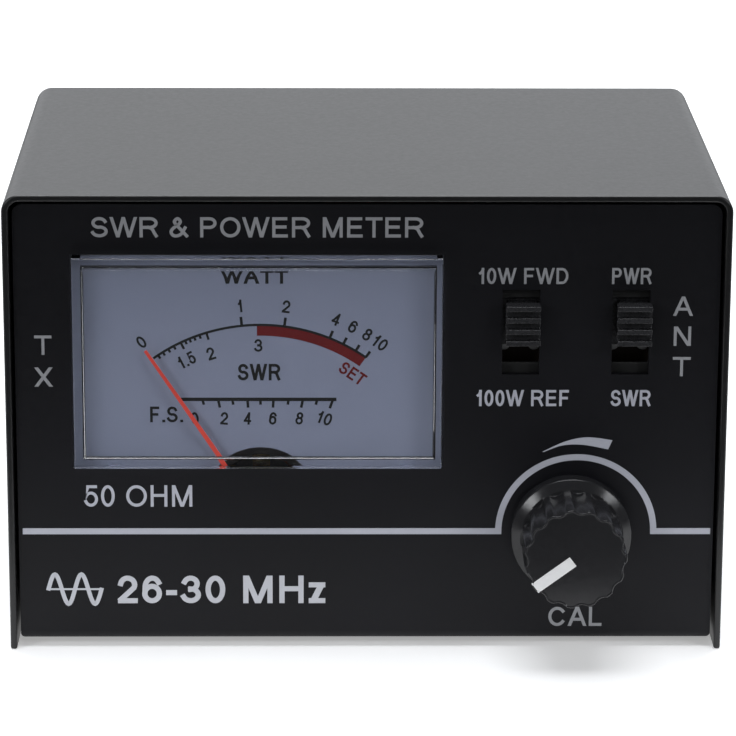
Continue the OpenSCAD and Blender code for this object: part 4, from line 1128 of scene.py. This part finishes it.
def floor():
    """A sheet under the object, in a wide floor that throws no light on the object."""
    x0, x1, y0, y1 = NEAR_FLOOR
    far = FAR_FLOOR
    near = [(x0, x1, y0, y1)]
    around = [(-far, far, -far, y0), (-far, far, y1, far), (-far, x0, y0, y1), (x1, far, y0, y1)]
    for name, glow, boxes in (("near_floor", NEAR_GLOW, near), ("far_floor", FAR_GLOW, around)):
        points, faces = [], []
        for left, right, front, back in boxes:
            base = len(points)
            points += [(left, front, 0), (right, front, 0), (right, back, 0), (left, back, 0)]
            faces.append((base, base + 1, base + 2, base + 3))
        mesh = bpy.data.meshes.new(name)
        mesh.from_pydata(points, [], faces)
        mesh.materials.append(surface(name, grey(0.86), grey(0.90), (0.7, 0.85), 60, 0.02,
                                      mottle=4, glow=glow))
        plane = new_object(name, mesh)
        if name == "far_floor":
            plane.visible_diffuse = False
            plane.visible_glossy = False
            plane.visible_transmission = False


STUDIO_TINT = (0.95, 0.97, 1.0)
SKY_STRENGTH = 0.11
# Softboxes: name, place and aim in metres, size in metres, and watts
SOFTBOXES = (
    ("top softbox", (0.0, -0.05, 0.95), (0, 0, 0), (0.6, 0.6), 7.5),
    ("back softbox", (0.0, 1.25, 0.60), (0, 0, 0.05), (2.6, 1.4), 8.6),
    ("rim softbox", (0.0, 0.60, 0.84), (0, 0, 0.05), (1.2, 0.5), 8.0),
    ("left softbox", (-0.76, -0.67, 0.47), (0, 0, 0.03), (0.30, 0.30), 2.8),
    ("right softbox", (0.82, -0.67, 0.47), (0.03, 0, 0.03), (0.30, 0.30), 2.8),
)


def softbox(name, place, target, size, power):
    light = bpy.data.lights.new(name, "AREA")
    light.shape = "RECTANGLE"
    light.size, light.size_y = size
    light.energy = power
    light.color = STUDIO_TINT
    lamp = new_object(name, light)
    lamp.location = place
    aim = Vector(target) - Vector(place)
    lamp.rotation_euler = aim.to_track_quat("-Z", "Y").to_euler()


def sky():
    world = bpy.data.worlds.new("studio")
    world.use_nodes = True
    background = world.node_tree.nodes["Background"]
    background.inputs["Color"].default_value = (*STUDIO_TINT, 1)
    background.inputs["Strength"].default_value = SKY_STRENGTH
    bpy.context.scene.world = world


# The camera's place, its yaw, pitch and roll in degrees, its lens and its sensor's width
CAMERA_AT = (-7.58, -567.28, 197.92)
CAMERA_TURNS = (0.834, 16.248, 0.251)
CAMERA_LENS = 186.56
CAMERA_SENSOR = 36


def camera():
    yaw, pitch, roll = (math.radians(turn) for turn in CAMERA_TURNS)
    forward = Vector((math.sin(yaw) * math.cos(pitch), math.cos(yaw) * math.cos(pitch),
                      -math.sin(pitch)))
    level = Vector((math.cos(yaw), -math.sin(yaw), 0))
    up = level.cross(forward)
    right = level * math.cos(roll) + up * math.sin(roll)
    up = right.cross(forward)
    turn = Matrix((right, up, -forward)).transposed().to_4x4()
    data = bpy.data.cameras.new("camera")
    data.sensor_width = CAMERA_SENSOR
    data.lens = CAMERA_LENS
    data.clip_start = 0.02
    data.clip_end = 50
    eye = new_object("camera", data)
    eye.matrix_world = Matrix.Translation(Vector(CAMERA_AT) * MM) @ turn
    bpy.context.scene.camera = eye


floor()
sky()
for lamp in SOFTBOXES:
    softbox(*lamp)
camera()
bpy.context.scene.view_settings.view_transform = "Standard"
